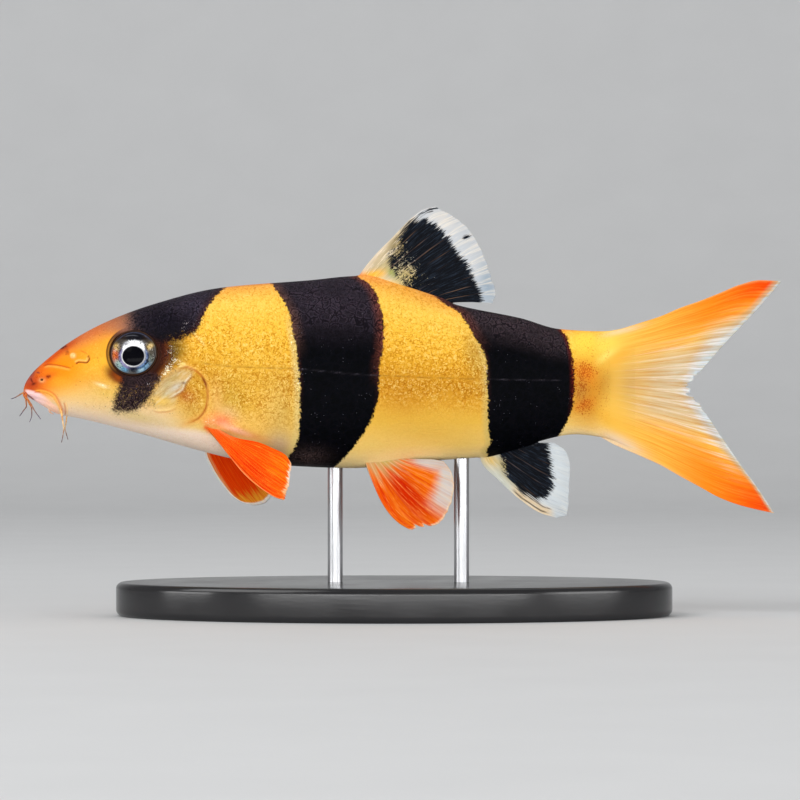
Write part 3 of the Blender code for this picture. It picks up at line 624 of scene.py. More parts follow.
    # Cheek and throat
    paint.washes(
        (236, 194, 118, 7.5, -1.2, 3.2, 1.2, 0.5, -10), (220, 184, 76, 10.2, -0.4, 1.5, 1.3, 0.4),
        (255, 236, 186, 9.3, 0.32, 0.75, 0.2, 0.7, -20), (188, 128, 36, 10.4, 1.6, 0.8, 0.9, 0.6),
    )
    paint.over((246, 224, 204), 0.95 * ease(h - throat(s), 0.5, -0.5) * ease(s, 2.5, 4.5) * ease(s, 36, 30))
    # The first of these washes is painted light: it lightens the throat where the pectoral root shades it
    paint.washes(
        (255, 228, 208, 22.4, -6.8, 2.6, 1.2, 0.9, -20), (252, 222, 190, 26, -7.2, 3, 0.9, 0.7, -20),
    )
    # Lips, and the fold over them that runs down into the barbel
    signed = along(LIP_EDGE, s, h)[2]
    lips = ease(signed, 0.14, -0.2) * ease(s, 0.05, 0.6) * ease(s, 4.8, 4.0)
    paint.over((250, 200, 172), 0.95 * lips)
    paint.over((246, 208, 214), 0.85 * lips * ease(s, 3.4, 1.2))
    paint.strokes(
        ((204, 84, 16), LIP_FOLD, 0.12, 0.6, 0.2, 0.26),
        # The dark line below is painted shadow between the barbel roots and the lip
        ((110, 26, 16), ((0, -0.42), (0.66, -0.93), (1.5, -1.52)), 0.09, 0.85, 0.3),
        ((255, 178, 74), LIP_FOLD, 0.18, 0.8, 0.1),
        ((186, 70, 24), ((1.2, -0.52), (1.6, -0.46), (2.1, -0.45)), 0.07, 0.85, 0.3),
        ((206, 112, 44), LIP_CREASE, 0.08, 0.7, 0.15, -0.12),
        ((255, 206, 130), LIP_CREASE, 0.1, 0.6, 0.15, 0.1),
    )
    # Round the eye: a dark brown-red ring, widest behind and below, that runs into the black
    paint.washes(
        (96, 78, 24, 17.6, 4.5, 1.8, 2, 0.9, -25, 1.4), (78, 54, 20, 16.9, 3.2, 0.9, 1.9, 0.9, -25, 1.3),
        (190, 150, 70, 18.6, 3.1, 0.9, 0.5, 0.5, -25),
    )
    ring = ease(turn, -165, -125) * ease(turn, 80, 45)
    paint.over((120, 56, 18), 0.9 * ring * ease(eye, 4.5, 3.7))
    paint.over((48, 14, 8), 0.98 * ring * ease(eye, 4.1, 3.4))
    paint.washes(
        (40, 20, 16, 14.2, 1, 2.4, 0.6, 0.9, 0, 1.5), (150, 70, 16, 11.3, 1.3, 1, 0.5, 0.9, -40),
    )
    lid = ease(eye, 3.22, 3.05)
    paint.over((150, 104, 44), 0.8 * lid * ease(np.abs(turn), 110, 140))
    paint.over((92, 50, 26), 0.85 * lid * ease(np.abs(turn), 140, 110))
    paint.over((44, 38, 46), 0.9 * lid * ease(turn, 40, 80) * ease(turn, 165, 130))
    paint.over((48, 22, 16), 0.9 * lid * ring)
    paint.over((54, 28, 18), 0.95 * bump(eye - 2.76, 0.12))
    paint.over((44, 22, 18), 0.9 * bump(eye - 3.14, 0.09))
    paint.washes((58, 8, 8, 10.4, 4.02, 0.19, 0.19, 1))
    # Gill cover
    paint.washes((206, 156, 54, 20, 0.4, 2.1, 2.6, 0.8))
    foil = ease(depth_inside(GILL_FOIL, s, h), -0.35, 0.55)
    paint.over((202, 174, 120), 0.9 * foil)
    paint.washes(
        (190, 174, 132, 17, 0.4, 0.9, 0.6, 0.7, 33), (200, 196, 182, 18.1, 0.1, 0.85, 0.4, 0.9, 33),
        (196, 190, 160, 17, -0.7, 0.8, 0.3, 0.7, 33), (216, 176, 112, 18.9, 1.5, 0.9, 0.5, 0.85),
        (176, 150, 84, 18, 1.3, 0.9, 0.4, 0.6, 33), (182, 100, 36, 19.4, -1, 1.2, 0.8, 0.9, -20),
        (204, 156, 70, 20.3, -2.6, 1.7, 1.3, 0.6), (232, 190, 92, 16.4, -1.6, 1.4, 0.6, 0.9),
        (206, 182, 116, 13.5, -3.4, 3.4, 0.7, 0.65, -12),
    )
    paint.strokes(
        # The two bright lines below, along the gill cover's raised top edge, are a painted highlight
        ((255, 236, 156), GILL_TOP, 0.13, 0.95, 0.2),
        ((255, 236, 156), ((18.45, 2.84), (18.9, 2.9), (19.4, 2.78)), 0.12, 0.8, 0.3),
        ((166, 104, 30), GILL_TOP, 0.08, 0.8, 0.2, -0.22), ((190, 104, 30), GILL_EDGE, 0.12, 0.9, 0.12),
        ((112, 26, 10), ((21, 1.55), (21.4, 0.95), (21.7, 0.3), (21.82, -0.3)), 0.13, 0.95, 0.4),
        ((248, 190, 92), GILL_EDGE, 0.16, 0.5, 0.25, 0.26),
    )
    paint.washes((226, 150, 60, 19.9, -3.9, 1.3, 0.4, 0.5, 30))
    paint.strokes(
        ((250, 220, 146), GILL_RIM, 0.1, 0.6, 0.3), ((206, 132, 56), GILL_RIM, 0.1, 0.45, 0.3, -0.22),
        ((232, 226, 204), GILL_PLATE, 0.11, 0.7, 0.25, -0.15),
        ((150, 78, 28), GILL_PLATE, 0.13, 0.55, 0.25, 0.1),
    )
    paint.washes((84, 24, 14, 19.05, 0.66, 0.26, 0.1, 0.9))
    # Behind it: the shoulder, and the rosy root of the pectoral fin
    paint.washes(
        (232, 180, 104, 22.9, -1.4, 0.8, 2.2, 0.6), (236, 200, 150, 24.4, -3, 1.3, 0.8, 0.5, -25),
        (250, 134, 92, 23.6, -3.9, 1.5, 0.8, 0.9, -20), (250, 160, 96, 22, -3.9, 0.8, 0.6, 0.8),
        (248, 188, 156, 25.2, -4.9, 1.8, 0.35, 0.9, -22),
    )
    paint.strokes(
        ((244, 98, 26), ((21.35, -4.3), (21.8, -4.7), (22.5, -5.4)), 0.3, 0.92, 0.3),
        ((206, 140, 40), SHOULDER_LINE, 0.1, 0.6, 0.1, -0.1),
        # The pale line below, along the shoulder ridge, is a painted highlight
        ((255, 232, 150), SHOULDER_LINE, 0.11, 0.8, 0.1, 0.1),
        ((150, 96, 22), LATERAL_LINE, 0.09, 0.5 + 0.4 * np.sin(s * 3.7) * np.sin(s * 1.3 + 1), 0.04),
    )
    paint.tint = blend(paint.tint, tail_paint(s, h)[0].tint, ease(s, 67.2, 69.4))
    # A pale rim ahead of the two big bands
    from_middle, from_rear = s - MIDDLE_BAND_FRONT(h), s - REAR_BAND_FRONT(h)
    paint.over((214, 190, 120), 0.8 * ease(from_middle, -1.0, -0.25) * (from_middle < 0.4) * ease(h, 10, 5))
    paint.over((206, 180, 104), 0.7 * ease(from_rear, -1.0, -0.2) * (from_rear < 0.4) * ease(h, 7, 4))
    # Forehead: tan, then brown and slate, into the black
    brow = ease(h - 0.12 * (s - 10), 5.7, 7.2) * ease(s, 20, 16)
    paint.over((168, 108, 80), 0.85 * ease(s, 8.4, 11.6) * brow)
    paint.over((126, 94, 84), 0.85 * ease(s, 10.8, 13.2) * brow)
    paint.over((66, 54, 60), 0.95 * ease(s, 11.4, 14.4) * brow)

    # Depth inside the black bands, with the colour of their pigment, and a painted sheen where the black is
    # lighter towards the top
    to_middle, to_rear = MIDDLE_BAND_REAR(h) - s, REAR_BAND_REAR(h) - s
    middle, rear = np.minimum(from_middle, to_middle), np.minimum(from_rear, to_rear)
    front = np.where(s < 26, depth_inside(HEAD_BAND, s, h), -9)
    cheek = np.where(s < 26, depth_inside(CHEEK_PATCH, s, h), -9)
    crown = np.minimum(front - 1.0 * ease(s, 20.4, 18.6), (s - 15.6) * 0.5)
    band = np.maximum.reduce([middle, rear, crown])
    ink = Paint(s, h, (1, 2, 5))
    # Painted sheen: the black is painted lighter towards the top of the back, as if lit from above
    ink.over((44, 38, 46), 0.95 * ease(h, 4.0, 10.5) * (s < 50))
    ink.over((50, 42, 46), 0.95 * ease(h - top, -4.6, -1.0) * (s > 46))
    ink.washes((16, 14, 24, 16.8, 8.2, 3.0, 2.0, 0.8), (58, 52, 66, 20.6, 10.0, 2.2, 1.6, 0.5))
    ink.strokes(((66, 62, 70), LATERAL_LINE, 0.07, 0.3 + 0.2 * np.sin(s * 2.9), 0.02))
    ink.over((70, 38, 30), 0.6 * ease(band, 0.6, 0.0) * ease(h, -5, 7) * (s > 27))
    ink.over((106, 56, 44), 0.7 * ease(to_middle, 1.5, 0.0) * (s > 38) * (s < 44) * ease(h, -1, 7))
    ink.over((92, 64, 54), 0.6 * ease(from_middle, 1.6, 0.1) * (s > 26) * (s < 37) * ease(h, 3, 8))
    ink.over((96, 54, 44), 0.65 * ease(from_rear, 1.8, 0.1) * (s > 46) * (s < 56) * ease(h, 4, 8))
    ink.over((90, 18, 8), 0.8 * ease(to_rear, 0.7, 0.0) * (s > 60) * ease(h, -4.0, 0.5))
    ink.washes((66, 54, 52, 33.6, -8.4, 2.4, 1.2, 0.75))
    ink.over((72, 36, 24), 0.9 * ease(front, 1.0, -0.6) * (s < 26) * (s > 15))
    ink.over((46, 34, 36), 0.9 * ease(cheek, -1.0, 0.0))
    soot = 0.96 * ease(s + 0.15 * (h - 8), 10.4, 14.6) * ease(front, -0.9, 0.8) * (s < 21)
    soot = np.maximum(soot, 0.95 * ease(cheek, -1.0, 0.65))
    soot = spots(
        s, h, soot, (0.4, 11.2, -3.0, 1.0, 0.5), (0.7, 17.2, 3.9, 1.3, 2.3), (0.42, 15.0, -1.9, 1.2, 0.9),
    )

    rise = 0.13 * ease(s, 36, 40)
    grain = ease(s, 16.5, 20.5) * ease(level, 0.1 + rise, 0.34 + rise) * ease(s, 66.5, 64)
    grain = grain * (1 - 0.38 * ease(level, 0.66, 0.92))
    grain = grain * (1 - 0.75 * spot(s, h, 23.4, -2.6, 1.5, 1.8))
    grain = grain * (1 - 0.7 * bump(along(LATERAL_LINE, s, h)[2], 0.25))
    grain = spots(
        s, h, grain, (0.8, 20.0, -0.6, 1.6, 2.4), (0.8, 17.6, 3.6, 1.1, 2.4), (0.6, 16.8, -1.8, 1.4, 0.6),
    )
    grain = np.maximum(grain, 0.22 * ease(s, 5, 9) * ease(h, -4.0, -2.0) * ease(s, 20, 16))
    arc = along(GILL_EDGE, s, h)
    grain = grain * ease(eye, 3.5, 4.2) * (1 - 0.8 * foil)
    grain = grain * (1 - 0.85 * bump(arc[2], 0.32) * taper(arc[1], 0.1))
    rust = spots(
        s, h, 0.0, (0.85, 66.5, 1.9, 1.9, 1.9), (0.72, 66.2, 0.1, 1.5, 3.6), (0.78, 66.6, -2.0, 1.5, 1.4),
    )
    rust = np.maximum(rust, 0.34 * ease(s, 65.2, 66.0) * ease(s, 72.0, 69.0) * ease(level, 0.04, 0.3))
    rust = np.maximum(rust, 0.4 * spot(s, h, 1.6, 1.4, 1.6, 1.2) * (s < 5))
    # Where the painted glints gather: pale flecks of painted highlight behind the eye, on the head and
    # along the fronts of the two big bands
    glint = spots(
        s, h, 0.0, (1.0, 18.0, 3.35, 0.55, 0.4), (1.0, 17.2, 2.35, 1.1, 0.5, 50),
        (0.8, 16.6, 1.5, 0.9, 0.35, 45), (0.6, 19.3, 7.6, 1.1, 0.45, 60), (0.5, 20.5, 7.9, 1.2, 0.5, 60),
        (0.75, 22.2, -3.9, 0.7, 0.55), (0.5, 9.9, 0.2, 0.9, 0.3, -15), (0.68, 17.7, 4.6, 1, 0.8, 40),
        (0.6, 18.5, 2.9, 0.8, 0.35, 10), (0.62, 15.3, 0.5, 1.3, 0.35, 8),
    )
    uneven = 0.75 + 0.25 * np.sin(h * 2.3) * np.sin(h * 0.9 + 2)
    for rim, ahead, reach, low_end, high_end in (
        (MIDDLE_BAND_FRONT, 0.3, 0.6, (-4, 0), (9, 6)), (REAR_BAND_FRONT, 0.2, 0.5, (-2, 0), (6.5, 4)),
    ):
        near_rim = ease(np.abs(s - rim(h) + ahead), reach, 0.15) * ease(h, *low_end) * ease(h, *high_end)
        glint = np.maximum(glint, 0.62 * near_rim * uneven)
    dots = 0.8 * ease(s, 3, 7) * ease(s, 22, 17) * ease(h - throat(s), 0.2, 1.6) * ease(eye, 3.2, 3.4)
    dots = spots(s, h, dots, (0.9, 11.8, -3, 2.8, 0.8), (0.9, 9.4, 6.4, 3, 0.9))
    return paint.tint, ink.tint, dict(
        band=band, soot=soot, grain=grain, glint=glint, dots=dots, rust=rust, foil=foil,
    )


def skin_material():
    look = Shader("loach_skin")
    where = look.place()
    band, soot, rust, foil = look.read("band"), look.read("soot"), look.read("rust"), look.read("foil")
    grain, glint, dots = look.read("grain"), look.read("glint"), look.read("dots")
    worms = look.noise(where, 3.1, 2.0, 0.55, 1.2)
    fine = look.noise(where, 6.5, 2.0, 0.6)
    patchy = look.noise(where, 0.55, 2.0)
    # Gold: fingerprint-like curls of bright granules with ochre valleys between them
    field = look.noise(where, 2.3, 1.0, 0.5, 0.5) * 20.0
    curls = look.maths("SINE", field + worms * 3.5)
    tint = look.read("tint", "Color")
    grain = grain * patchy.step(0.3, 0.62, 0.75, 1.1)
    broken = look.noise(where, 2.6, 1.0).step(0.3, 0.5)
    dark = curls.step(-0.35, -1.0) * broken * grain
    valley = look.dye(tint, 216, 190, 128)
    base = look.mix(dark, tint, valley)
    light = curls.step(0.45, 1.0) * worms.step(0.4, 0.58) * grain
    base = look.mix(light * 0.46, base, colour(252, 230, 146))
    soft = look.dye(base, 236, 216, 176)
    base = look.mix(fine.step(0.4, 0.65) * grain.step(0.0, 0.5, 0.22, 0.3), base, soft)
    # Rust-red granules on the tail stem and the snout, and small dark dots on the head
    crumbs = rust + (fine - 0.5) * 2.2
    crumbs = crumbs + (worms - 0.5) * 1.6
    crumbs = crumbs.step(0.62, 0.9) * rust.step(0.05, 0.4)
    base = look.mix(crumbs * 0.75, base, look.dye(base, 208, 132, 74))
    speck = look.cells(where, 2.6)
    few = look.noise(where, 2.2, 0.0).step(0.58, 0.62)
    spotty = speck.step(0.17, 0.09) * few
    base = look.mix(spotty * look.maths("MAXIMUM", dots, rust * 0.6), base, colour(84, 40, 20))
    # Gill cover: a thin silvery skin with folds that run down and forward, painted darker in their hollows
    # as painted shade and lighter on their crests as painted highlight
    slant = {"Vector": where, "Rotation": (0.0, FOLDS_LEAN, 0.0), "Scale": (1.7, 1.0, 0.42)}
    slanted = look.node("ShaderNodeMapping", slant, vector_type="TEXTURE")
    folds = look.noise(slanted, 1.0, 3.0, 0.6, 1.1)
    shaded = folds.step(0.5, 0.34) * foil
    base = look.mix(shaded * 0.45, base, look.dye(base, 210, 184, 140))
    base = look.mix(folds.step(0.52, 0.7) * foil * 0.32, base, colour(222, 208, 174))
    crest = look.maths("ABSOLUTE", folds - 0.6).step(0.018, 0.0)
    base = look.mix(crest * foil * 0.22, base, colour(244, 224, 180))
    # Black: crisp scalloped edges to the bands, smoky grain elsewhere
    ragged = look.noise(where, 2.9, 2.0, 0.65, 0.5) - 0.5
    mask = (band + ragged).step(-0.1, 0.14)
    grit = worms * 1.5 + fine * 0.7
    smoke = soot + (grit - 1.1) * 0.75
    smoke = smoke.step(0.2, 0.92) * soot.step(0.02, 0.25)
    mask = look.maths("MAXIMUM", mask, smoke)
    ink = look.read("ink", "Color")
    ink = look.mix(worms.step(0.42, 0.6, 0.0, 0.8), ink, look.dye(ink, 160, 152, 160))
    warped = look.vector("SCALE", {0: look.noise(where, 1.3, output="Color"), "Scale": 0.9})
    scales = look.cells(look.vector("ADD", {0: where, 1: warped}), 1.0, "DISTANCE_TO_EDGE")
    here = patchy.step(0.32, 0.5)
    # The scale rims beside the dark net are painted lighter: a painted highlight along them
    lit = scales.step(0.24, 0.1) * worms.step(0.36, 0.54) * here
    ink = look.mix(lit, ink, look.mix(1.0, ink, (2.6, 2.5, 2.5), "MULTIPLY"))
    net = scales.step(0.09, 0.03) * here
    ink = look.mix(net * 0.8, ink, colour(5, 4, 8))
    # Tiny pale dots in the black: faint painted glints
    tiny = speck.step(0.11, 0.05) * patchy.step(0.5, 0.58)
    ink = look.mix(tiny * 0.55, ink, colour(150, 146, 160))
    base = look.mix(mask, base, ink)
    # Painted glints: pale flecks of painted highlight, crowded where the glint is strong
    flecks = look.noise(where, 3.0, 2.0, 0.6, 1.8)
    flecks = (flecks + glint * 0.26).step(0.72, 0.8)
    flecks = flecks * glint.step(0.15, 0.4)
    glint_tone = look.mix(mask, colour(255, 244, 206), colour(170, 160, 164))
    base = look.mix(flecks * 0.92, base, glint_tone)
    rough = fine.step(0.3, 0.7, 0.46, 0.6) - flecks * 0.2
    tiles = scales.step(0.0, 0.16)
    height = tiles * 0.5 + curls * 0.22
    height = height + worms * 0.5
    height = height + folds * foil * 2.2
    return look.finish(
        Base_Color=base, Roughness=rough, Normal=look.relief(height, 0.028), IOR=1.4,
        Specular_IOR_Level=0.05,
        Subsurface_Weight=0.1, Subsurface_Radius=FLESH_BLEED, Subsurface_Scale=0.0006,
    )


def make_skin():
    nose = HEAD_END * (np.arange(1, HEAD_RINGS + 1) / HEAD_RINGS) ** RINGS_CROWD
    rest = np.linspace(HEAD_END, SKIN_END, BODY_RINGS + 1)[1:]
    grid = rings(np.concatenate([nose, rest]), RING_POINTS)
    sweep = np.gradient(grid, axis=0)
    round_ = (np.roll(grid, -1, 1) - np.roll(grid, 1, 1)) / 2
    normal = np.cross(round_, sweep)
    normal /= np.maximum(np.linalg.norm(normal, axis=-1, keepdims=True), 1e-9)
    normal *= np.sign((normal[..., 1] * grid[..., 1]).sum())
    s, y, h = grid[..., 0], grid[..., 1], grid[..., 2]
    relief = skin_relief(s, y, h) * ease(s, 0.0, 0.35)
    tint, ink, numbers = skin_paint(s, y, h)
    rows, cols = s.shape
    points = (grid + normal * relief[..., None]).reshape(-1, 3)
    points = np.concatenate([points, [[0.0, 0, -0.5], [SKIN_END, 0, 0]]])
    quads = np.concatenate([wrap_quads(rows, cols), cap_fan(rows, cols)])

    def padded(values):
        flat = values.reshape(rows * cols, -1)
        return np.concatenate([flat, flat[:1], flat[-1:]])

    shades = dict(tint=padded(tint), ink=padded(ink))
    numbers = {key: padded(value)[:, 0] for key, value in numbers.items()}
    piece = build_mesh("body_skin", to_world(points), quads, skin_material(), shades, numbers)
    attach(piece, "root")
    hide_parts("head", "lower_jaw", "gill_cover_left", "gill_cover_right", "trunk", "tail_stem")


# Eyes
def eye_material():
    look = Shader("loach_eye")
    where = look.place()
    tint, leaf = look.read("tint", "Color"), look.read("leaf")
    flecks = look.noise(where, 3.0, 3.0, 0.65, 1.2)
    dark = look.dye(tint, 140, 132, 136)
    base = look.mix(flecks.step(0.52, 0.4) * leaf, tint, dark)
    bright = flecks.step(0.58, 0.68) * leaf
    base = look.mix(bright * 0.4, base, colour(226, 226, 220))
    return look.finish(
        Base_Color=base, Roughness=flecks.step(0.3, 0.7, 0.34, 0.5), IOR=1.4, Specular_IOR_Level=0.04,
        Coat_Weight=0.1, Coat_Roughness=0.05, Coat_IOR=1.3,
    )


def paint_eye(x, h):
    """The iris: x is towards the tail and h upwards, in millimetres from the middle of the eye."""
    dx, dh = x - 0.12, h + 0.5
    turn = np.degrees(np.arctan2(dh, dx)) % 360
    draw = np.random.default_rng(4).normal(size=720)
    hairs = np.convolve(np.tile(draw, 3), np.hanning(9) / 4, "same")[720:1441]
    hair = np.interp(turn * 2, np.arange(721), hairs)
    q = np.hypot(dx / 1.28, dh / 1.13)
    up = ease(np.sin(np.radians(turn)), 0.3, 0.97)
    right = ease(np.cos(np.radians(turn)), -0.1, 0.6)
    paint = Paint(x, h, (92, 88, 84))
    paint.washes(
        (196, 84, 28, -2.1, -0.45, 0.42, 0.9, 0.97, 8, 1.6), (226, 128, 56, -2.32, -0.2, 0.15, 0.5, 0.8),
        (206, 168, 96, -2.05, 0.75, 0.36, 0.6, 0.97, 26, 1.6),
        (150, 136, 120, -1.7, 0.6, 0.16, 0.42, 0.7, 20), (222, 190, 120, 2, 0.8, 0.36, 0.6, 0.97, -28, 1.6),
        (60, 46, 34, 1.74, 0.9, 0.1, 0.4, 0.9, -30), (74, 66, 54, 2.2, -0.05, 0.35, 0.42, 0.9),
        (100, 108, 98, 2.1, -0.85, 0.42, 0.55, 0.9, 20),
        (150, 178, 172, -1.6, -1.5, 0.75, 0.45, 0.97, -44, 1.6),
        (96, 160, 200, -1, -2, 0.55, 0.26, 0.8, -20, 1.4),
        (104, 152, 188, 1.3, -1.75, 0.85, 0.4, 0.97, 38, 1.6),
        (176, 206, 216, 0.95, -2.1, 0.35, 0.18, 0.8, 20),
    )
    paint.over((134, 128, 176), 0.9 * ease(q, 1.48, 1.28) * (1 - right) * (1 - up))
    paint.over((92, 118, 168), 0.9 * bump(q - 1.26, 0.09) * right * (1 - 0.6 * up))
    paint.over((26, 44, 76), 0.85 * bump(q - 1.38, 0.06) * right * (1 - up))
    paint.over((12, 12, 20), 0.98 * ease(dh - 0.2 * np.abs(dx), 1.6, 1.9))
    paint.over((40, 28, 20), 0.7 * ease(dh, 1.3, 1.7) * ease(q, 1.75, 1.95) * ease(np.abs(dx), 0.7, 1.3))
    # Two grey arcs in the dark top of the eye: painted reflections of light on its upper part
    paint.over(
        (84, 84, 104), 0.6 * bump(np.hypot(x, h) - 2.4, 0.07) * ease(h, 1.4, 1.8) * (0.6 + 0.4 * hair),
    )
    paint.over(
        (104, 104, 112),
        0.55 * bump(h - 2.02 + 0.16 * (x + 0.2) ** 2, 0.06) * ease(np.abs(x + 0.3), 1.0, 0.4),
    )
    paint.washes((10, 18, 34, 0.12, -1.98, 0.62, 0.42, 0.98, 0, 1.8))
    outer = 1.16 + 0.55 * up * (1 + 0.1 * hair) + 0.03 * hair
    paint.over((150, 150, 156), ease(q, outer + 0.07, outer - 0.03))
    paint.over((240, 240, 240), ease(q, outer - 0.02, outer - 0.1))
    paint.over(
        (60, 56, 62),
        0.8 * ease(hair, 0.35, 0.9) * ease(up, 0.4, 0.8) * ease(q, 1.34, 1.46) * ease(q, 1.75, 1.6),
    )
    paint.over((86, 84, 96), 0.7 * bump((turn - 122) / 9, 1.0) * ease(q, 1.28, 1.4) * ease(q, 1.7, 1.55))
    paint.over((40, 60, 96), 0.5 * ease(q, 1.0, 1.1) * ease(q, 1.2, 1.1) * right * (1 - up))
    paint.over((16, 22, 36), ease(q, 1.06, 1.02))
    paint.over((1, 1, 6), ease(q, 1.01, 0.96))
    edge = np.hypot(x / EYE_WIDER, h / EYE_LOWER)
    paint.over((56, 62, 84), 0.6 * bump(edge - 2.48, 0.05) * ease(h, 0.8, 1.6))
    paint.over((30, 18, 16), ease(edge, 2.54, 2.62))
    paint.over((96, 62, 38), 0.5 * bump(edge - 2.7, 0.04))
    notch = 1 - bump(np.hypot((x - 0.12) / 0.9, (h + 1.98) / 0.6), 1.0)
    lidded = 1 - 0.95 * ease(dh, 1.4, 1.8)
    leaf = ease(q, outer + 0.02, outer + 0.12) * ease(edge, 2.54, 2.44) * lidded * notch
    return paint.tint, leaf


def make_eye(name, side, finish):
    """An eyeball drawn in rings round its own axis: a is forward, b is up and c is outwards."""
    rows, cols, step = 150, 200, 0.05
    polar = np.linspace(0, np.pi, rows)[1:-1, None]
    angle = np.linspace(0, 2 * np.pi, cols, endpoint=False)[None]
    reach, lift = np.sin(polar) + 0 * angle, np.cos(polar) + 0 * angle
    a, b = EYE_WIDER * EYE_RADIUS * reach * np.cos(angle), EYE_LOWER * EYE_RADIUS * reach * np.sin(angle)
    c = EYE_HALF_DEPTH * lift
    out = np.array((-math.sin(EYE_TURNED_FORWARD), side * math.cos(EYE_TURNED_UP), math.sin(EYE_TURNED_UP)))
    out /= np.linalg.norm(out)
    ahead = np.cross((0, 0, 1), out)
    ahead *= -np.sign(ahead[0]) / np.linalg.norm(ahead)
    above = np.cross(out, ahead)
    above *= np.sign(above[2])
    slope_s = (flank(EYE_S + step, EYE_H) - flank(EYE_S - step, EYE_H)) / (2 * step)
    slope_h = (flank(EYE_S, EYE_H + step) - flank(EYE_S, EYE_H - step)) / (2 * step)
    normal = np.array((-slope_s, side, -slope_h))
    normal /= np.linalg.norm(normal)
    centre = np.array((EYE_S, side * flank(EYE_S, EYE_H), EYE_H)) - EYE_SUNK * normal
    body = centre + a[..., None] * ahead + b[..., None] * above + c[..., None] * out
    tint, leaf = paint_eye(-a, b)
    tint[c < 0] = colour(8, 6, 8)
    poles = [centre + EYE_HALF_DEPTH * out, centre - EYE_HALF_DEPTH * out]
    flat = np.concatenate([body.reshape(-1, 3), poles])
    count = rows - 2
    faces = np.concatenate([wrap_quads(count, cols), cap_fan(count, cols)])
    shades = np.concatenate([tint.reshape(-1, 3), [colour(2, 3, 9), colour(8, 6, 8)]])
    leaves = np.concatenate([leaf.ravel(), [0, 0]])
    piece = build_mesh(f"{name}_ball", to_world(flat), faces, finish, dict(tint=shades), dict(leaf=leaves))
    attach(piece, "root")
    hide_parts(name)


# Fins
def coons(root, lead, trail, margin, hold=3):
    """The patch between four edges. Its rays run straight from the root out to the margin, and only
    those near the lead and the trail bend with them, the fewer the higher hold is."""

    def at(u, v):
        u_, v_ = u[..., None], v[..., None]
        ruled = (1 - v_) * root(u) + v_ * margin(u)
        lead_bend = lead(v) - (1 - v_) * root(0.0) - v_ * margin(0.0)
        trail_bend = trail(v) - (1 - v_) * root(1.0) - v_ * margin(1.0)
        return ruled + (1 - u_) ** hold * lead_bend + u_ ** hold * trail_bend

    return at


def ray_ridges(u, v, rays, fork_at=0.38, again_at=0.7):
    """How much of a ray stands at each place, with each ray forking twice on its way out."""
    phase = u * (rays - 1)
    near = np.round(phase)
    off = phase - near
    late = 0.1 * np.sin(near * 2.4)
    first = 0.25 * ease(v, fork_at + late, 1.3 + late)
    second = 0.12 * ease(v, again_at + late, 1.3 + late)
    edge = (near == 0) | (near == rays - 1)
    first, second = np.where(edge, 0, first), np.where(edge, 0, second)
    width = 0.11 * (1 - 0.55 * ease(v, 0.0, 0.8)) + 0.02
    ridge = np.zeros(u.shape)
    for sign in (-1, 1):
        for again in (-1, 1):
            ridge = np.maximum(ridge, bump(off - sign * first - again * second, width))
    return ridge


def make_fin(name, nodes, patch, place, counts, look, paint, flesh, fray, relief=0.03):
    """A closed fin of a patch's shape, with rays raised on both faces, coloured by paint from u, v and
    s, h. Its counts are those of its rays and of its mesh's columns and rows, flesh is how thick its
    root is, fray is how far its margin is worn back, and relief is the rays' height."""
    rays, cols, rows = counts
    u, v = np.meshgrid(np.linspace(0, 1, cols), np.linspace(0, 1, rows), indexing="xy")
    ridge = ray_ridges(u, v, rays)
    flat = patch(u, v * (1 - fray(u) * ease(v, 0.6, 1.0)))
    joints = 0.5 + 0.5 * np.cos(2 * np.pi * v * 26)
    raised = relief * ridge * (1 - 0.6 * v) * (0.85 + 0.15 * joints) * ease(v, 0.05, 0.35)
    half = 0.1 * (1 - 0.55 * v) + raised + flesh(v, flat)
    half = half * (0.35 + 0.65 * ease(v, 1.0, 0.985))
    wave = 0.02 * np.sin(u * (rays - 1) * np.pi) * ease(v, 0.3, 0.9)
    faces = [place(flat, sign * half + wave, v) for sign in (1, -1)]
    tint, numbers = paint(u, v, flat[..., 0], flat[..., 1])
    count = rows * cols
    points = np.concatenate([one.reshape(-1, 3) for one in faces])
    row, col = np.meshgrid(np.arange(rows - 1), np.arange(cols - 1), indexing="ij")
    a = (row * cols + col).ravel()
    front = np.stack([a, a + 1, a + 1 + cols, a + cols], -1)
    rear = front[:, ::-1] + count
    loop = np.concatenate([
        np.arange(cols), np.arange(1, rows) * cols + cols - 1,
        (rows - 1) * cols + np.arange(cols - 2, -1, -1), np.arange(rows - 2, 0, -1) * cols,
    ])
    turned = np.roll(loop, -1)
    edge = np.stack([loop, loop + count, turned + count, turned], -1)

    def doubled(values):
        one = np.asarray(values, float).reshape(count, -1)
        both = np.concatenate([one, one])
        return both if both.shape[1] == 3 else both[:, 0]

    way = np.stack([u * (rays - 1), v, 0 * u], -1)
    numbers = {key: doubled(value) for key, value in dict(numbers, ridge=ridge, way=way).items()}
    quads = np.concatenate([front, rear, edge])
    piece = build_mesh(name, to_world(points), quads, look, dict(tint=doubled(tint)), numbers)
    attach(piece, "root")
    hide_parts(*nodes)


def upright(flat, half, v):
    return np.stack([flat[..., 0], half, flat[..., 1]], -1)


def sloping(side, root_y, root_h, slope, curl):
    """Places a paired fin: its plane leans outwards by the slope and curls back in to the tips."""
    across = np.array((0, side * math.cos(slope), math.sin(slope)))

    def place(flat, half, v):
        y = root_y + math.tan(slope) * (root_h - flat[..., 1]) - curl * v * v
        return np.stack([flat[..., 0], side * y, flat[..., 1]], -1) + half[..., None] * across

    return place


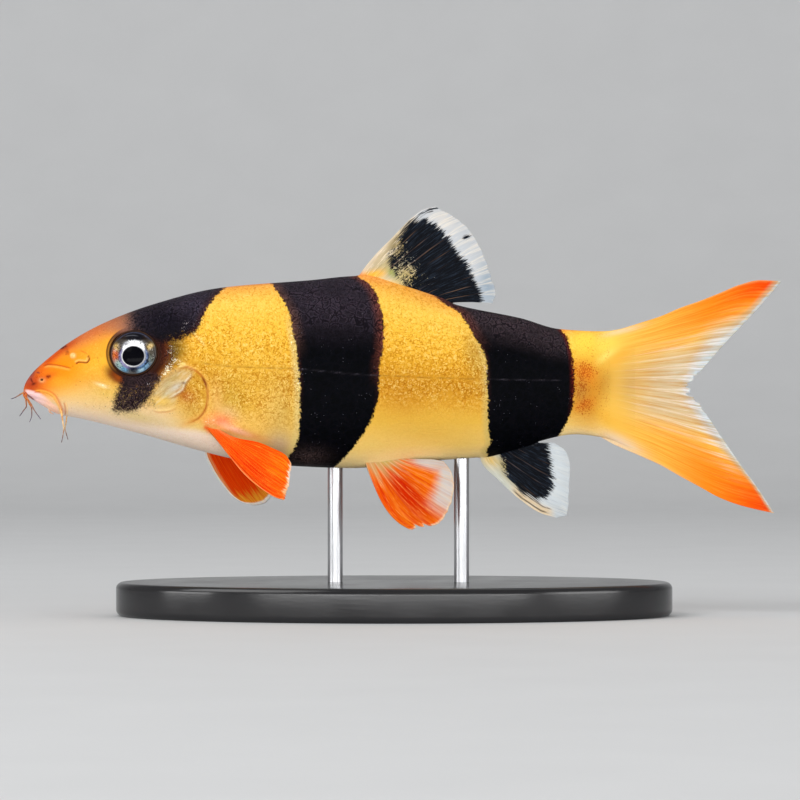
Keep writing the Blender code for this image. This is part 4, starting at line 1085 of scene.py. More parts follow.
def fin_material(name, deep, streaks=0.25, dark=False, finer=1.0):
    """Membrane and rays. The tint and the veil are painted; streaks run out along the rays."""
    look = Shader(name)
    way = look.read("way", "Vector")
    streak = look.noise(way.stretched(4.0 * finer, 1.4, 1.0), 1.0, 2.0, 0.6)
    hair = look.noise(way.stretched(12.0 * finer, 4.5, 1.0), 1.0, 3.0, 0.65)
    ridge, lined, pale = look.read("ridge"), look.read("lined"), look.read("pale", "Color")
    base = look.read("tint", "Color")
    shade = look.dye(base, *deep)
    broader = 0.8 if dark else 2.4
    base = look.mix(streak.step(0.36, 0.6, broader * streaks, 0.0) * lined, base, shade)
    base = look.mix(hair.step(0.44, 0.32, 0.0, 1.8 * streaks) * lined, base, shade)
    base = look.mix(hair.step(0.56, 0.68, 0.0, 1.9 * streaks) * lined, base, pale)
    lit = ridge * look.read("ray_share")
    base = look.mix(lit * hair.step(0.34, 0.56, 0.15, 1.0), base, pale)
    veil = look.read("veil")
    if dark:
        spikes = (hair - 0.5) * 2.6
        spikes = spikes + (streak - 0.5) * 1.2
        mask = (look.read("ink") + spikes).step(-0.12, 0.22)
        grit = look.noise(look.place(), 4.2, 2.0, 0.7, 0.8)
        grit = grit * 0.65 + hair * 0.35
        worn = grit + look.read("worn") * 0.3
        mask = mask * worn.step(0.8, 0.7)
        lines = ridge.step(0.7, 1.0) * streak.step(0.5, 0.66)
        lines = lines * look.read("ray_lines")
        tone = look.mix(hair.step(0.48, 0.7, 0.0, 0.8), colour(4, 7, 14), colour(42, 52, 66))
        base = look.mix(mask, base, look.mix(lines, tone, colour(132, 100, 78)))
        veil = look.maths("MAXIMUM", veil, mask * 0.98)
    veil = look.maths("MAXIMUM", veil, ridge * 0.9)
    height = hair * 0.6 + streak * 0.4
    return look.finish(
        Base_Color=base, Alpha=veil, Roughness=hair.step(0.3, 0.7, 0.44, 0.58),
        Specular_IOR_Level=0.08 if dark else 0.04,
        Normal=look.relief(height, 0.012), IOR=1.4, Subsurface_Weight=0.0 if dark else 0.15,
        Subsurface_Radius=(1.0, 0.4, 0.2), Subsurface_Scale=0.0005,
    )


def fin_fields(paint, veil, pale, ray_share, lined=1.0, **more):
    """A fin's numbers for each point; pale is the tone of its rays, one for all or one for each."""
    full = np.ones(paint.s.shape)
    if isinstance(pale, tuple):
        pale = np.zeros(full.shape + (3,)) + colour(*pale)
    numbers = dict(veil=veil * full, ray_share=ray_share * full, lined=lined * full, pale=pale)
    numbers.update({key: value * full for key, value in more.items()})
    return paint.tint, numbers


def ragged_edge(amount, seed, every=1.0):
    """Uneven fraying of a margin: each ray ends in its own place."""
    draw = np.random.default_rng(seed).uniform(0, 1, 400)

    def fray(u):
        place = u * 100 * every
        k = np.floor(place).astype(int) % 399
        t = ease(place - np.floor(place), 0, 1)
        return amount * ((1 - t) * draw[k] + t * draw[k + 1])

    return fray


DORSAL_INK = (
    (45.4, 11.6), (44.3, 13.2), (43.2, 14.8), (43.6, 16.4), (44.5, 18.2), (45.7, 19.9), (47.4, 20.2),
    (48.8, 19.6), (50, 18.3), (51.1, 16.9), (52.4, 15.1), (53.3, 13.6), (54, 12.2), (54.5, 10.9),
    (54.5, 8.5), (50, 8.5), (46.5, 10),
)
ANAL_INK = (
    (56.3, -6), (56.5, -8), (57, -9.9), (57.9, -11.3), (59.2, -12.6), (60.7, -13.2), (62, -13.2),
    (62.8, -12), (62.8, -10.5), (62.7, -9), (62.5, -7.5), (62.3, -6.2), (58, -6),
)
TAIL_UPPER = (
    (67.9, 6.45), (69.4, 6.76), (70.8, 7.02), (72, 7.36), (73.2, 7.74), (75.6, 8.52), (77.9, 9.5),
    (80.3, 10.35), (82.7, 11.3), (85, 12.25), (87.4, 12.8), (90, 12.7),
)
TAIL_LOWER = (
    (67.9, -5.45), (68.7, -5.92), (69.6, -6.45), (70.8, -7.03), (72, -7.54), (73.2, -8.05), (75.6, -9.15),
    (77.9, -10.45), (80.3, -11.75), (82.7, -13.05), (85, -13.9), (87.4, -14.5), (89.1, -14.85),
)
TAIL_FORK = (
    (90, 12.7), (87.4, 9.7), (85, 7.15), (83.8, 5.9), (82.7, 4.65), (81.5, 3.2), (80.3, 1.75), (79.5, 0.6),
    (79.5, -0.4), (80.3, -1.75), (81.5, -3.6), (82.7, -5.5), (85, -8.9), (87.4, -12.2), (89.1, -14.85),
)


def tail_paint(s, h):
    """The tail fin's tones, which the end of the skin shares so that the two run together."""
    paint = Paint(s, h, (240, 190, 80))
    upper, lower, fork = (along(line, s, h)[0] for line in (TAIL_UPPER, TAIL_LOWER, TAIL_FORK))
    paint.washes(
        (254, 218, 90, 68.4, 4.8, 2.4, 1.5, 0.9, 15), (196, 138, 46, 68.5, 0.5, 1.5, 2.6, 0.85, -15),
        (255, 226, 116, 68.7, 3.5, 1.8, 0.42, 0.85, 33), (240, 176, 58, 70.9, 3.7, 2.2, 0.8, 0.85, 35),
        (236, 176, 60, 68.9, -3.4, 2.4, 0.9, 0.8, -32), (206, 160, 80, 72, 0.6, 1.8, 2.4, 0.8),
        (238, 182, 72, 72, -4.2, 3, 1.2, 0.7, -30), (204, 174, 122, 75.2, 0.9, 3, 3.2, 0.9),
        (200, 190, 168, 78.6, 0.9, 3.4, 3.8, 0.9, 15, 1.3),
        (206, 184, 146, 78.6, -2.6, 3.6, 3, 0.8, -20, 1.3), (206, 186, 150, 75.4, -2.3, 2.6, 1.6, 0.7),
        (232, 206, 176, 71.4, 6.9, 2.6, 0.36, 0.65, 14), (228, 202, 172, 70.8, -6.4, 3.4, 0.75, 0.9, -25),
    )
    for edge, wide in ((upper, 1.0), (lower, 1.3)):
        paint.over((248, 174, 66), ease(s, 72, 78) * ease(edge, 4.8 * wide, 2.2 * wide))
        paint.over((246, 139, 26), ease(s, 75.5, 82) * ease(edge, 4.4 * wide, 1.6 * wide))
        paint.over((246, 100, 8), ease(s, 80.5, 87) * ease(edge, 3.2 * wide, 0.9 * wide))
        paint.over((236, 66, 2), ease(s, 84.5, 89.5) * ease(edge, 2.2 * wide, 0.5 * wide))
    paint.over((248, 196, 124), 0.35 * bump(upper, 0.16) * ease(s, 71, 76))
    paint.over((222, 192, 166), 0.7 * bump(lower, 0.16) * ease(s, 82, 74))
    centre = ease(s, 86.5, 80.5)
    wide = (0.32 + 0.75 * centre) * (1 + 0.5 * ease(h, 1, 4) - 0.3 * ease(h, -4, -7))
    paint.over((200, 174, 134), 0.75 * ease(fork, 2.2 * wide, 1.0 * wide))
    paint.over((190, 188, 184), (0.25 + 0.5 * centre) * ease(fork, 1.4 * wide, 0.7 * wide))
    paint.over((196, 206, 212), 0.95 * ease(fork, 0.8 * wide, 0.35 * wide))
    return paint, upper, lower, fork


def paint_tail(u, v, s, h):
    paint, upper, lower, fork = tail_paint(s, h)
    inner = ease(upper, 1.8, 4.8) * ease(lower, 2.4, 5.6)
    centre = ease(s, 86.5, 80.5)
    middle = inner * ease(s, 71.0, 76.0)
    pale = Paint(s, h, (255, 174, 74))
    pale.over((238, 222, 196), inner)
    pale.over((236, 238, 240), ease(fork, 2.4, 1.0) * centre)
    veil = 0.99 - 0.1 * ease(fork, 1.2, 0.2)
    share = (0.12 + 0.4 * middle + 0.24 * centre * ease(fork, 2.6, 0.8)) * ease(s, 69.0, 73.0)
    return fin_fields(paint, veil, pale.tint, share, 0.85 * ease(s, 69.5, 75.0))


def paint_dorsal(u, v, s, h):
    paint = Paint(s, h, (192, 196, 200))
    lead = along(((39.95, 13.5), (41.3, 15.3), (43.7, 17.8), (46.1, 20.2), (47.5, 21.2)), s, h)[0]
    paint.over((206, 186, 148), 0.95 * ease(lead, 3.4, 1.4) * ease(s + h, 67.5, 64.5))
    paint.over((186, 172, 126), 0.6 * ease(lead, 3.0, 1.6) * ease(s + h, 63.5, 61.5) * ease(lead, 0.7, 1.3))
    paint.over((240, 222, 196), 0.7 * ease(lead, 0.45, 0.1) * ease(s + h, 68, 65))
    paint.washes(
        (168, 148, 84, 45.9, 13, 3, 2.4, 0.95, -35, 1.4),
        (146, 128, 84, 44.8, 16.8, 1.4, 1.6, 0.95, 45, 1.4),
        (214, 196, 140, 45.3, 12.6, 1.2, 0.8, 0.8, -30), (250, 186, 56, 41.3, 13.3, 1.9, 0.6, 1, 15, 1.3),
        (246, 130, 48, 39.9, 13.2, 0.8, 0.5, 0.9), (150, 160, 84, 43.7, 13.7, 0.7, 0.5, 0.85, -40),
        (240, 206, 128, 43.6, 12.4, 1.6, 0.5, 0.9, -20), (246, 178, 66, 47, 11.1, 4.4, 0.4, 0.9, -16),
        (148, 164, 178, 55.1, 12.2, 1.1, 2.6, 0.9), (220, 214, 206, 49.8, 20, 1.6, 0.8, 0.6, -30),
    )
    ink = depth_inside(DORSAL_INK, s, h)
    for strength, line in (
        (0.55, ((46.1, 19.75), (47.2, 20.7), (48.2, 21.2), (49.2, 21.35))),
        (0.35, ((47, 20.1), (47.9, 20.8), (48.6, 21))),
    ):
        ink = np.maximum(ink, strength - 5.5 * along(line, s, h)[0])
    ink = np.maximum(ink, 0.75 - 1.0 * np.hypot((s - 52.6) / 0.75, (h - 17.9 - 0.3 * (s - 52.6)) / 0.34))
    worn = spots(
        s, h, 0.0, (0.9, 45.3, 13.7, 1.9, 2.3), (0.9, 44.2, 16.8, 1.5, 2.3), (0.4, 47.6, 13.0, 1.8, 1.2),
    )
    veil = 0.98 - 0.1 * ease(v, 0.8, 1.0)
    lines = 0.7 * ease(v, 0.86, 0.5)
    pale = Paint(s, h, (250, 236, 214))
    lined = 0.5 + 1.8 * ease(lead, 2.6, 1.0) * ease(s + h, 67.5, 64.5)
    return fin_fields(
        paint, veil, pale.tint, 0.4 * ease(v, 0.1, 0.5), lined, ink=ink, worn=worn, ray_lines=lines,
    )


def paint_anal(u, v, s, h):
    paint = Paint(s, h, (202, 209, 213))
    lead = along(((54.3, -8.6), (56.6, -11.1), (58.9, -13.2), (61.3, -14.8), (63.4, -15.45)), s, h)[0]
    paint.over((206, 208, 194), 0.95 * ease(lead, 2.4, 1.2) * ease(s, 61.0, 58.5))
    paint.over((234, 208, 166), 0.9 * ease(lead, 1.3, 0.5) * ease(s, 57.4, 58.8) * ease(s, 63.4, 62.0))
    paint.over((60, 40, 28), 0.9 * bump(lead - 0.26, 0.1) * ease(s, 57.8, 58.6) * ease(s, 62.6, 61.6))
    paint.over((84, 60, 44), 0.8 * bump(lead - 0.8, 0.08) * ease(s, 59.6, 60.4) * ease(s, 62.9, 62.3))
    paint.washes(
        (238, 200, 110, 55.4, -8.5, 1.3, 0.8, 0.9, -30),
        (186, 168, 108, 57.2, -9.4, 0.8, 1.8, 0.9, 25, 1.3),
    )
    ink = depth_inside(ANAL_INK, s, h)
    worn = 0.7 * spot(s, h, 57.0, -9.4, 0.7, 1.6)
    veil = 0.98 - 0.1 * ease(v, 0.8, 1.0)
    lines = 0.4 * ease(v, 0.86, 0.5)
    lined = 0.8 + 1.2 * ease(lead, 2.0, 0.8)
    return fin_fields(
        paint, veil, (226, 224, 216), 0.25 * ease(v, 0.1, 0.5), lined, ink=ink, worn=worn, ray_lines=lines,
    )


def paint_pectoral(u, v, s, h):
    paint = Paint(s, h, (250, 96, 2))
    paint.washes(
        (236, 52, 0, 28.2, -10.2, 3.4, 0.9, 0.9, -42), (252, 128, 2, 30.6, -9.4, 1.4, 1.3, 0.9),
        (250, 104, 12, 26.8, -7, 2.6, 0.5, 0.7, -14), (252, 112, 8, 30.4, -12.2, 1, 0.6, 0.7, -20),
    )
    paint.over((238, 116, 58), 0.85 * ease(v, 0.3, 0.06))
    # A pale salmon patch on the upper part of the root: painted highlight
    paint.over((252, 172, 120), 0.9 * bump(u - 0.78, 0.2) * ease(v, 0.42, 0.1))
    paint.over((252, 168, 108), 0.85 * ease(u, 0.03, 0.008) * ease(v, 0.06, 0.18))
    paint.over((196, 26, 0), 0.6 * bump(u - 0.055, 0.02) * ease(v, 0.02, 0.12) * ease(v, 0.9, 0.7))
    ends = np.sin(u * 61) * np.sin(u * 23 + 1)
    fringe = ease(v + 0.018 * ends, 0.955, 0.985)
    paint.over((252, 190, 130), 0.85 * fringe * ease(u, 0.06, 0.2))
    paint.over((252, 236, 226), 0.9 * ease(v + 0.018 * ends, 0.965, 0.99) * bump((u - 0.62) / 0.3, 1.0))
    veil = 0.99 - 0.1 * ease(v, 0.97, 1.0)
    return fin_fields(paint, veil, (255, 158, 48), 0.35, 1.9 * ease(v, 0.0, 0.15) * ease(v, 0.99, 0.95))


def paint_pectoral_far(u, v, s, h):
    paint = Paint(s, h, (255, 74, 2))
    paint.washes((255, 60, 0, 26, -9.4, 2.6, 1.3, 0.9, -50))
    ends = 0.5 + 0.5 * np.sin(u * 70) * np.sin(u * 27 + 1)
    paint.over((255, 176, 50), 0.95 * ease(v + 0.12 * ends, 0.84, 0.97))
    paint.over((255, 190, 120), 0.8 * ease(u, 0.1, 0.04) * ease(v, 0.95, 0.7))
    rim = np.maximum(ease(v, 0.95, 0.97), ease(u, 0.036, 0.02))
    paint.over((255, 250, 240), 0.97 * rim)
    veil = 0.99 - 0.06 * ease(v, 0.97, 1.0)
    return fin_fields(paint, veil, (255, 130, 40), 0.15, 0.8 * (1 - rim))


def paint_pelvic(u, v, s, h):
    paint = Paint(s, h, (230, 116, 14))
    paint.washes(
        (204, 50, 0, 45.7, -12.6, 4.4, 1.5, 1, -48, 1.5), (224, 70, 0, 42.9, -13.2, 2.6, 0.6, 0.8, -58),
        (230, 130, 60, 41.3, -10.6, 0.7, 1.3, 0.6, -60),
    )
    paint.over((202, 160, 104), 0.95 * ease(v + 0.1 * np.sin(u * 40) * ease(v, 0, 0.1), 0.34, 0.08))
    paint.over((186, 172, 92), 0.75 * ease(v, 0.2, 0.06) * bump((u - 0.5) / 0.22, 1.0))
    pale = np.maximum(ease(u, 0.3, 0.54) * ease(v, 0.66, 0.86), ease(u, 0.72, 0.92) * ease(v, 0.15, 0.5))
    paint.over((206, 204, 202), 0.95 * pale)
    paint.over((240, 212, 180), 0.8 * ease(v, 0.97, 0.99))
    veil = 0.99 - 0.1 * pale
    pale_tone = Paint(s, h, (250, 166, 84))
    pale_tone.over((230, 200, 164), np.maximum(pale, ease(v, 0.45, 0.1)))
    share = 0.18 + 0.3 * ease(u, 0.35, 0.7) + 0.2 * ease(v, 0.5, 0.15)
    return fin_fields(paint, veil, pale_tone.tint, share, (1.1 - 0.8 * pale) * ease(v, 0.02, 0.35))


SINK = 0.7


def make_dorsal_fin(look):
    def root(u):
        s = 39.5 + 10.7 * np.asarray(u, float)
        return np.stack([s, back(s) - SINK], -1)

    lead = path(
        root(0.0), (39.95, 13.5), (41.3, 15.3), (43.7, 17.8), (46.1, 20.2), (47.5, 21.2), (48.9, 21.55),
    )
    margin = path(
        (48.9, 21.55), (50.5, 20.75), (52.3, 19.5), (53.1, 18.6), (54.2, 16.9), (54.9, 15.2), (55.6, 13),
        (56.1, 11.3), (55.7, 10),
    )
    trail = path(root(1.0), (51.2, 10.15), (53.0, 10.2), (55.7, 10.0))
    flesh = lambda v, flat: 0.42 * bump(v, 0.1) + 0.1 * ease(v, 0.5, 0.0)
    patch, fray = coons(root, lead, trail, margin), ragged_edge(0.014, 3, 0.3)
    make_fin(
        "dorsal_fin_web", ["dorsal_fin"], patch, upright, (11, 265, 120), look, paint_dorsal,
        flesh, fray,
    )


def make_anal_fin(look):
    def root(u):
        s = 54.1 + 6.4 * np.asarray(u, float)
        return np.stack([s, belly(s) + SINK], -1)

    lead = path(root(0.0), (54.3, -8.6), (56.6, -11.1), (58.9, -13.2), (61.3, -14.8), (63.4, -15.45))
    margin = path(
        (63.4, -15.45), (64.5, -15.1), (64.75, -13.2), (64.9, -9.2), (64.3, -7.4), (63.5, -6.8),
        (62.9, -6.45),
    )
    trail = path(root(1.0), (61.3, -6.5), (62.9, -6.45))
    flesh = lambda v, flat: 0.34 * bump(v, 0.12) + 0.1 * ease(v, 0.5, 0.0)
    patch, fray = coons(root, lead, trail, margin), ragged_edge(0.01, 5, 0.3)
    make_fin(
        "anal_fin_web", ["anal_fin"], patch, upright, (8, 193, 100), look, paint_anal, flesh,
        fray,
    )


def make_tail_fin(look):
    """Its root wraps the end of the body so closely that the two make one surface."""
    root = path((67.9, 6.45), (67.9, 0.5), (67.9, -5.4))
    teeth, small = ragged_edge(0.085, 11, 1.6), ragged_edge(0.012, 12, 1.0)

    def fray(u):
        between = small(u) * ease(u, 0.25, 0.4) * ease(u, 0.75, 0.6)
        return teeth(u) * bump((u - 0.49) / 0.06, 1.0) + between

    def flesh(v, flat):
        s, h = flat[..., 0], flat[..., 1]
        return flank(np.minimum(s, SKIN_END), h) - 0.17 * ease(s, 71.2, 68.2)

    patch = coons(root, path(*TAIL_UPPER), path(*TAIL_LOWER), path(*TAIL_FORK), 6)
    nodes = ["tail_fin_upper", "tail_fin_lower"]
    make_fin(
        "tail_fin_web", nodes, patch, upright, (19, 433, 150), look, paint_tail, flesh, fray,
    )


def make_pectoral_fin(name, side, look):
    if side < 0:
        slope, curl, sink = math.radians(32), 0.8, 0.5
        lead = path(
            (20.9, -3.9), (22.4, -5.15), (23.3, -6.2), (24.3, -7.45), (25.3, -8.7), (26.65, -10.2),
            (28.95, -12.05), (30.3, -12.8), (31.35, -13.1),
        )
        margin = path(
            (31.35, -13.1), (31.6, -12), (31.85, -11.3), (31.9, -10.2), (32.05, -9.35), (31.95, -8.8),
        )
        trail = path(
            (22.3, -4), (23.6, -5.1), (25.5, -5.9), (28.05, -6.4), (29.8, -7.1), (31.25, -7.85),
            (31.95, -8.8),
        )
        paint, fray = paint_pectoral, ragged_edge(0.014, 21, 0.6)
    else:
        slope, curl, sink = math.radians(38), 1.0, 0.7
        lead = path(
            (21.4, -4.2), (21.2, -7.6), (21.95, -9.7), (23.15, -11.65), (24.5, -13.2), (25.7, -13.9),
        )
        margin = path((25.7, -13.9), (26.95, -14.25), (28.2, -14), (29.1, -13.1), (29.8, -12))
        trail = path((23.1, -4.1), (25.7, -7.9), (28.3, -10.3), (29.8, -12))
        paint, fray = paint_pectoral_far, ragged_edge(0.006, 22, 0.25)
    place = sloping(side, float(flank(22.0, -4.7)) - sink, -4.1, slope, curl)
    flesh = lambda v, flat: 0.4 * bump(v, 0.2)
    patch = coons(path(lead(0.0), trail(0.0)), lead, trail, margin)
    nodes = [f"pectoral_fin_{name}"]
    make_fin(
        nodes[0] + "_web", nodes, patch, place, (15, 281, 90), look, paint, flesh, fray,
        0.014,
    )


def make_pelvic_fin(name, side, look):
    lead = path((40.4, -8.4), (41.4, -11), (42.4, -13.2), (43.3, -14.6), (44.6, -15.9), (46, -16.7))
    margin = path(
        (46, -16.7), (46.6, -16.5), (48.9, -16.1), (49.7, -15.6), (50.2, -14.8), (50.9, -13), (51.1, -11.4),
        (50.8, -10), (49.9, -8.7),
    )
    trail = path((44.4, -8.2), (46.2, -8.45), (48.2, -8.45), (49.9, -8.7))
    place = sloping(side, 1.9, -8.4, math.radians(28), 0.6)
    flesh = lambda v, flat: 0.3 * bump(v, 0.14)
    small = ragged_edge(0.012, 31, 0.6)
    fray = lambda u: small(u) + 0.06 * bump((u - 0.09) / 0.018, 1.0) + 0.045 * bump((u - 0.17) / 0.014, 1.0)
    patch = coons(path(lead(0.0), trail(0.0)), lead, trail, margin)
    nodes = [f"pelvic_fin_{name}"]
    make_fin(
        nodes[0] + "_web", nodes, patch, place, (10, 221, 100), look, paint_pelvic, flesh,
        fray, 0.02,
    )


# Barbels: (s, distance out, h) along each, the left one first, with s as seen in a side view
BARBELS = {
    "rostral_barbel_inner": (
        (
            (0.5, 0.3, -0.5), (0.15, 0.45, -0.75), (0.38, 0.6, -1.25), (0.62, 0.9, -1.75),
            (0.97, 1.3, -2.5), (0.98, 1.6, -3.2), (0.72, 1.8, -4.05),
        ),
        (
            (0.5, 0.3, -0.5), (0.05, 0.45, -0.8), (0.28, 0.7, -1.4), (0.34, 1, -2.1), (-0.02, 1.5, -2.71),
            (-0.46, 2, -3.35),
        ),
    ),
    "rostral_barbel_outer": (
        (
            (0.35, 0.7, -0.45), (0.3, 1, -0.95), (0.62, 1.3, -1.5), (0.87, 1.6, -1.85), (1.27, 2.1, -2.61),
            (1.66, 2.5, -3.16), (2.06, 2.8, -3.7),
        ),
        (
            (0.8, 0.9, -0.5), (0.05, 1.2, -0.55), (-0.25, 1.5, -0.68), (-0.66, 2, -0.93),
            (-1.01, 2.4, -1.13), (-1.5, 3, -1.3),
        ),
    ),
    "maxillary_barbel": (
        (
            (4.15, 1.6, -1.5), (4.46, 2.5, -2.6), (4.58, 2.95, -3.4), (4.7, 3.25, -4.2), (4.78, 3.3, -4.8),
            (4.68, 3.3, -5.6), (4.51, 3.2, -6.45),
        ),
        (
            (4.9, 1.6, -1.6), (5.08, 2.4, -2.4), (5.12, 2.9, -3.2), (5.04, 3.2, -4.2), (4.92, 3.3, -4.8),
            (5.12, 3.3, -5.6), (5.27, 3.2, -6.15),
        ),
    ),
}


def barbel_material():
    look = Shader("loach_barbel")
    where = look.place()
    mottle = look.noise(where, 1.8, 3.0, 0.6)
    tint = look.read("tint", "Color")
    base = look.mix(mottle.step(0.42, 0.62, 0.0, 0.7), tint, look.dye(tint, 190, 140, 110))
    rough = mottle.step(0.3, 0.7, 0.38, 0.5)
    return look.finish(
        Base_Color=base, Roughness=rough, Normal=look.relief(mottle, 0.02), IOR=1.4,
        Specular_IOR_Level=0.35,
        Subsurface_Weight=0.3, Subsurface_Radius=FLESH_BLEED, Subsurface_Scale=0.0004,
    )


def make_barbel(name, points, thick, look, tones):
    line = path(*points)
    count, sides = 90, 18
    t = np.linspace(0, 1, count)
    centre = line(t)
    run = np.gradient(centre, axis=0)
    run /= np.linalg.norm(run, axis=1, keepdims=True)
    across = np.cross(run, (0.31, 0.2, 0.93))
    across /= np.linalg.norm(across, axis=1, keepdims=True)
    up = np.cross(run, across)
    radius = thick * (0.34 + 0.66 * (1 - t) ** 1.2)
    radius *= 1 + 0.04 * np.sin(t * 45)
    radius *= 1 + 0.5 * bump(t, 0.15)
    radius *= ease(t, 1.03, 0.97)
    angle = np.linspace(0, 2 * np.pi, sides, endpoint=False)
    ring = np.cos(angle)[None, :, None] * across[:, None] + np.sin(angle)[None, :, None] * up[:, None]
    body = centre[:, None] + radius[:, None, None] * ring
    share = np.concatenate([np.repeat(t, sides), [0, 1]])
    tint = ramp(share, *zip((0.0, 0.3, 0.6, 0.85, 1.0), tones))
    quads = np.concatenate([wrap_quads(count, sides), cap_fan(count, sides)])
    points = np.concatenate([body.reshape(-1, 3), centre[:1], centre[-1:]])
    piece = build_mesh(name + "_flesh", to_world(points), quads, look, dict(tint=tint))
    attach(piece, "root")
    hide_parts(name)


def make_barbels():
    look = barbel_material()
    snout = ((200, 90, 36), (206, 132, 58), (150, 108, 84), (88, 76, 98), (70, 64, 96))
    corner = ((250, 180, 90), (250, 196, 118), (240, 206, 150), (150, 132, 124), (96, 88, 108))
    for kind, ways in BARBELS.items():
        for (name, side), way in zip(SIDES.items(), ways):
            at_corner = kind.startswith("maxillary")
            way = [(VIEW_S + (s - VIEW_S) / (1 - side * y / VIEW_AWAY), side * y, h) for s, y, h in way]
            make_barbel(
                f"{kind}_{name}", way, 0.14 if at_corner else 0.12, look, corner if at_corner else snout,
            )
    for name, side in SIDES.items():
        low = float(belly(np.array(3.0)))
        way = [
            (3.0, side * 0.7, low + 0.5), (3.05, side * 0.72, low + 0.1), (3.15, side * 0.8, low - 0.3),
            (3.5, side * 0.9, low - 0.6),
        ]
        make_barbel(f"chin_barbel_{name}", way, 0.1, look, [(248, 214, 188)] * 5)


# Stand
BASE_LENGTH, BASE_WIDTH, BASE_THICKNESS, BASE_EDGE, BASE_FLAT = 66.0, 36.0, 4.0, 0.8, 12
ROD_RADIUS, ROD_EDGE, ROD_SUNK = 0.9, 0.25, 0.25


def base_material():
    look = Shader("stand_acrylic")
    where = look.place()
    haze = look.noise(where, 0.12, 4.0, 0.6)
    swirl = look.noise(where.stretched(0.2, 3.0, 3.0), 1.0, 3.0)
    base = look.mix(haze, colour(22, 22, 24), colour(32, 31, 33))
    rough = haze.step(0.3, 0.7, 0.16, 0.24) + swirl.step(0.6, 0.75, 0.0, 0.05)
    return look.finish(Base_Color=base, Roughness=rough, Normal=look.relief(swirl, 0.004), IOR=1.49)


def rod_material():
    look = Shader("stand_steel")
    where = look.place()
    grain = look.noise(where.stretched(14.0, 14.0, 0.35), 1.0, 4.0, 0.65)
    base = look.mix(grain, colour(150, 151, 154), colour(196, 197, 199))
    return look.finish(
        Base_Color=base, Metallic=1.0, Roughness=grain.step(0.3, 0.7, 0.24, 0.38),
        Normal=look.relief(grain, 0.006),
    )


def turned(name, profile, centre, stretch, look, node, slot):
    """A piece turned from a profile of (radius, height) points, stretched to an oval, in millimetres."""
    sides = 256
    angle = np.linspace(0, 2 * np.pi, sides, endpoint=False)
    radius, height = np.array(profile, float).T
    x = centre[0] + (radius[:, None] * stretch[0]) * np.cos(angle)
    y = centre[1] + (radius[:, None] * stretch[1]) * np.sin(angle)
    z = np.broadcast_to(height[:, None], x.shape)
    poles = [[centre[0], centre[1], height[0]], [centre[0], centre[1], height[-1]]]
    points = np.concatenate([np.stack([x, y, z], -1).reshape(-1, 3), poles])
    quads = np.concatenate([wrap_quads(len(profile), sides), cap_fan(len(profile), sides)])
    piece = build_mesh(name, points * 0.001, quads, look)
    piece.data.set_sharp_from_angle(angle=math.radians(50))
    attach(piece, "root")
    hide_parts(node)


def make_stand():
    arc = np.linspace(0, np.pi / 2, 9)
    long, low, high = BASE_LENGTH / 2, BASE_EDGE, BASE_THICKNESS - BASE_EDGE
    inner = long - BASE_EDGE
    profile = [(long - BASE_FLAT, 0)]
    profile += [(inner + BASE_EDGE * math.sin(a), low - BASE_EDGE * math.cos(a)) for a in arc]
    profile += [(inner + BASE_EDGE * math.cos(a), high + BASE_EDGE * math.sin(a)) for a in arc]
    profile += [(long - BASE_FLAT, BASE_THICKNESS)]
    oval = (1.0, BASE_WIDTH / BASE_LENGTH)
    turned("stand_base_slab", profile, (0, 0), oval, base_material(), "stand_base", "stand_base")
    steel = rod_material()
    for node, s in (("stand_rod_front", 37.0), ("stand_rod_rear", 52.0)):
        top = AXIS_HEIGHT + float(belly(np.array(s))) + ROD_SUNK
        profile = [(ROD_RADIUS, BASE_THICKNESS - 0.1)]
        for a in arc:
            profile.append(
                (ROD_RADIUS - ROD_EDGE * (1 - math.cos(a)), top - ROD_EDGE + ROD_EDGE * math.sin(a))
            )
        turned(node + "_steel", profile, (s - SNOUT_AHEAD, 0), (1.0, 1.0), steel, node, "stand_rod")


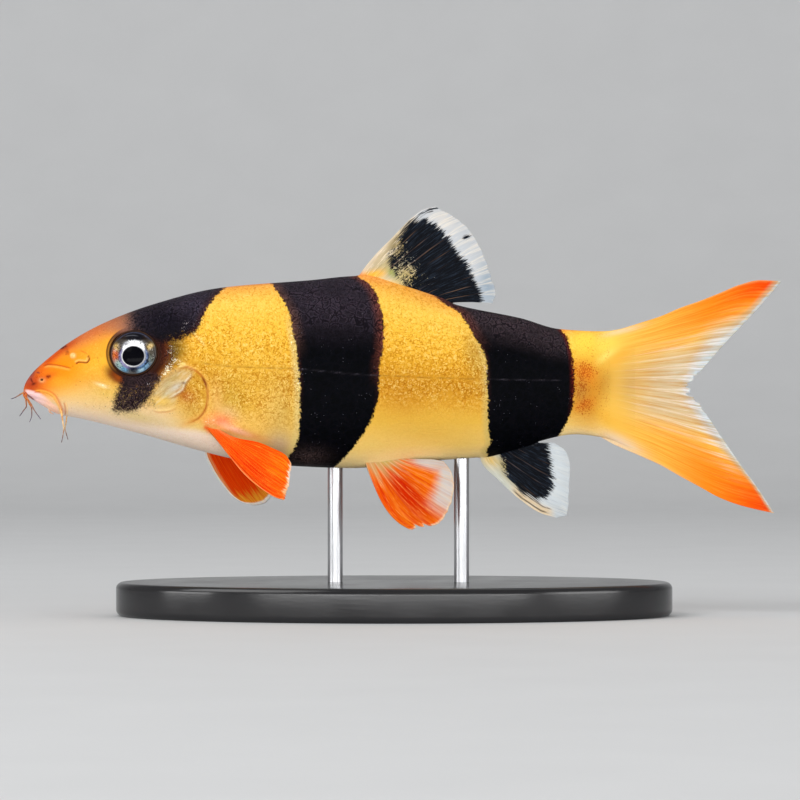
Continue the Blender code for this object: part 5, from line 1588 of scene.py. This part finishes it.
# Studio
def make_studio():
    look = Shader("studio_paper")
    paper = look.noise(look.place(1.0), 60.0, 4.0)
    look.finish(Base_Color=look.mix(paper, colour(218, 219, 220), colour(224, 225, 226)), Roughness=0.85)
    turn = np.linspace(0, np.pi / 2, 25)[1:]
    floor_end, bend, wall_top, half = 0.45, 0.35, 1.8, 1.8
    side = [(-1.6, 0.0), (floor_end, 0.0)]
    side += [(floor_end + bend * math.sin(a), bend - bend * math.cos(a)) for a in turn]
    side += [(floor_end + bend, wall_top)]
    points, count = np.array([(x, y, z) for x in (-half, half) for y, z in side]), len(side)
    k = np.arange(count - 1)
    quads = np.stack([k, k + count, k + 1 + count, k + 1], -1)
    build_mesh("studio_sweep", points, quads, look.material)

    def lamp(name, at, aim, size, power):
        light = bpy.data.lights.new(name, "AREA")
        light.shape = "RECTANGLE"
        light.size, light.size_y = size
        light.energy = power
        holder = bpy.data.objects.new(name, light)
        holder.location = at
        holder.rotation_euler = (Vector(at) - Vector(aim)).to_track_quat("Z", "Y").to_euler()
        bpy.context.scene.collection.objects.link(holder)

    lamp("key_softbox", (-0.42, -0.36, 0.46), (0, 0, 0.03), (0.5, 0.4), 2.1)
    lamp("low_softbox", (0.0, -0.72, 0.06), (0, 0, 0.02), (1.0, 0.11), 2.3)
    lamp("left_softbox", (-0.62, -0.3, 0.09), (0, 0, 0.03), (0.3, 0.16), 0.8)
    lamp("right_softbox", (0.62, -0.4, 0.14), (0, 0, 0.03), (0.4, 0.24), 1.7)
    lamp("top_softbox", (0.05, 0.1, 0.6), (0, 0, 0.02), (0.6, 0.4), 0.6)
    world = bpy.data.worlds.new("studio")
    world.use_nodes = True
    inputs = world.node_tree.nodes["Background"].inputs
    inputs["Color"].default_value = (1, 1, 1, 1)
    inputs["Strength"].default_value = 0.34
    bpy.context.scene.world = world


CAMERA_AT = (0.00069, -0.4748, 0.02558)


def make_camera():
    """Level with the fish and square to its flank; the frame is 95 mm wide where the fish is."""
    lens = bpy.data.cameras.new("camera")
    lens.lens, lens.sensor_width = 180.0, 36.0
    lens.clip_start, lens.clip_end = 0.01, 20.0
    holder = bpy.data.objects.new("camera", lens)
    holder.location = CAMERA_AT
    holder.rotation_euler = (math.pi / 2, 0, 0)
    bpy.context.scene.collection.objects.link(holder)
    bpy.context.scene.camera = holder
    bpy.context.scene.view_settings.view_transform = "Standard"


make_skin()
eye_finish = eye_material()
for side_name, side_sign in SIDES.items():
    make_eye(f"eye_{side_name}", side_sign, eye_finish)
dark_web = fin_material("dark_web", (214, 214, 216), 0.3, dark=True)
orange_web = fin_material("orange_web", (236, 130, 40), 0.34)
tail_web = fin_material("tail_web", (240, 196, 120), 0.28, finer=1.5)
make_dorsal_fin(dark_web)
make_anal_fin(dark_web)
make_tail_fin(tail_web)
for side_name, side_sign in SIDES.items():
    make_pectoral_fin(side_name, side_sign, orange_web)
    make_pelvic_fin(side_name, side_sign, orange_web)
make_barbels()
make_stand()
make_studio()
make_camera()
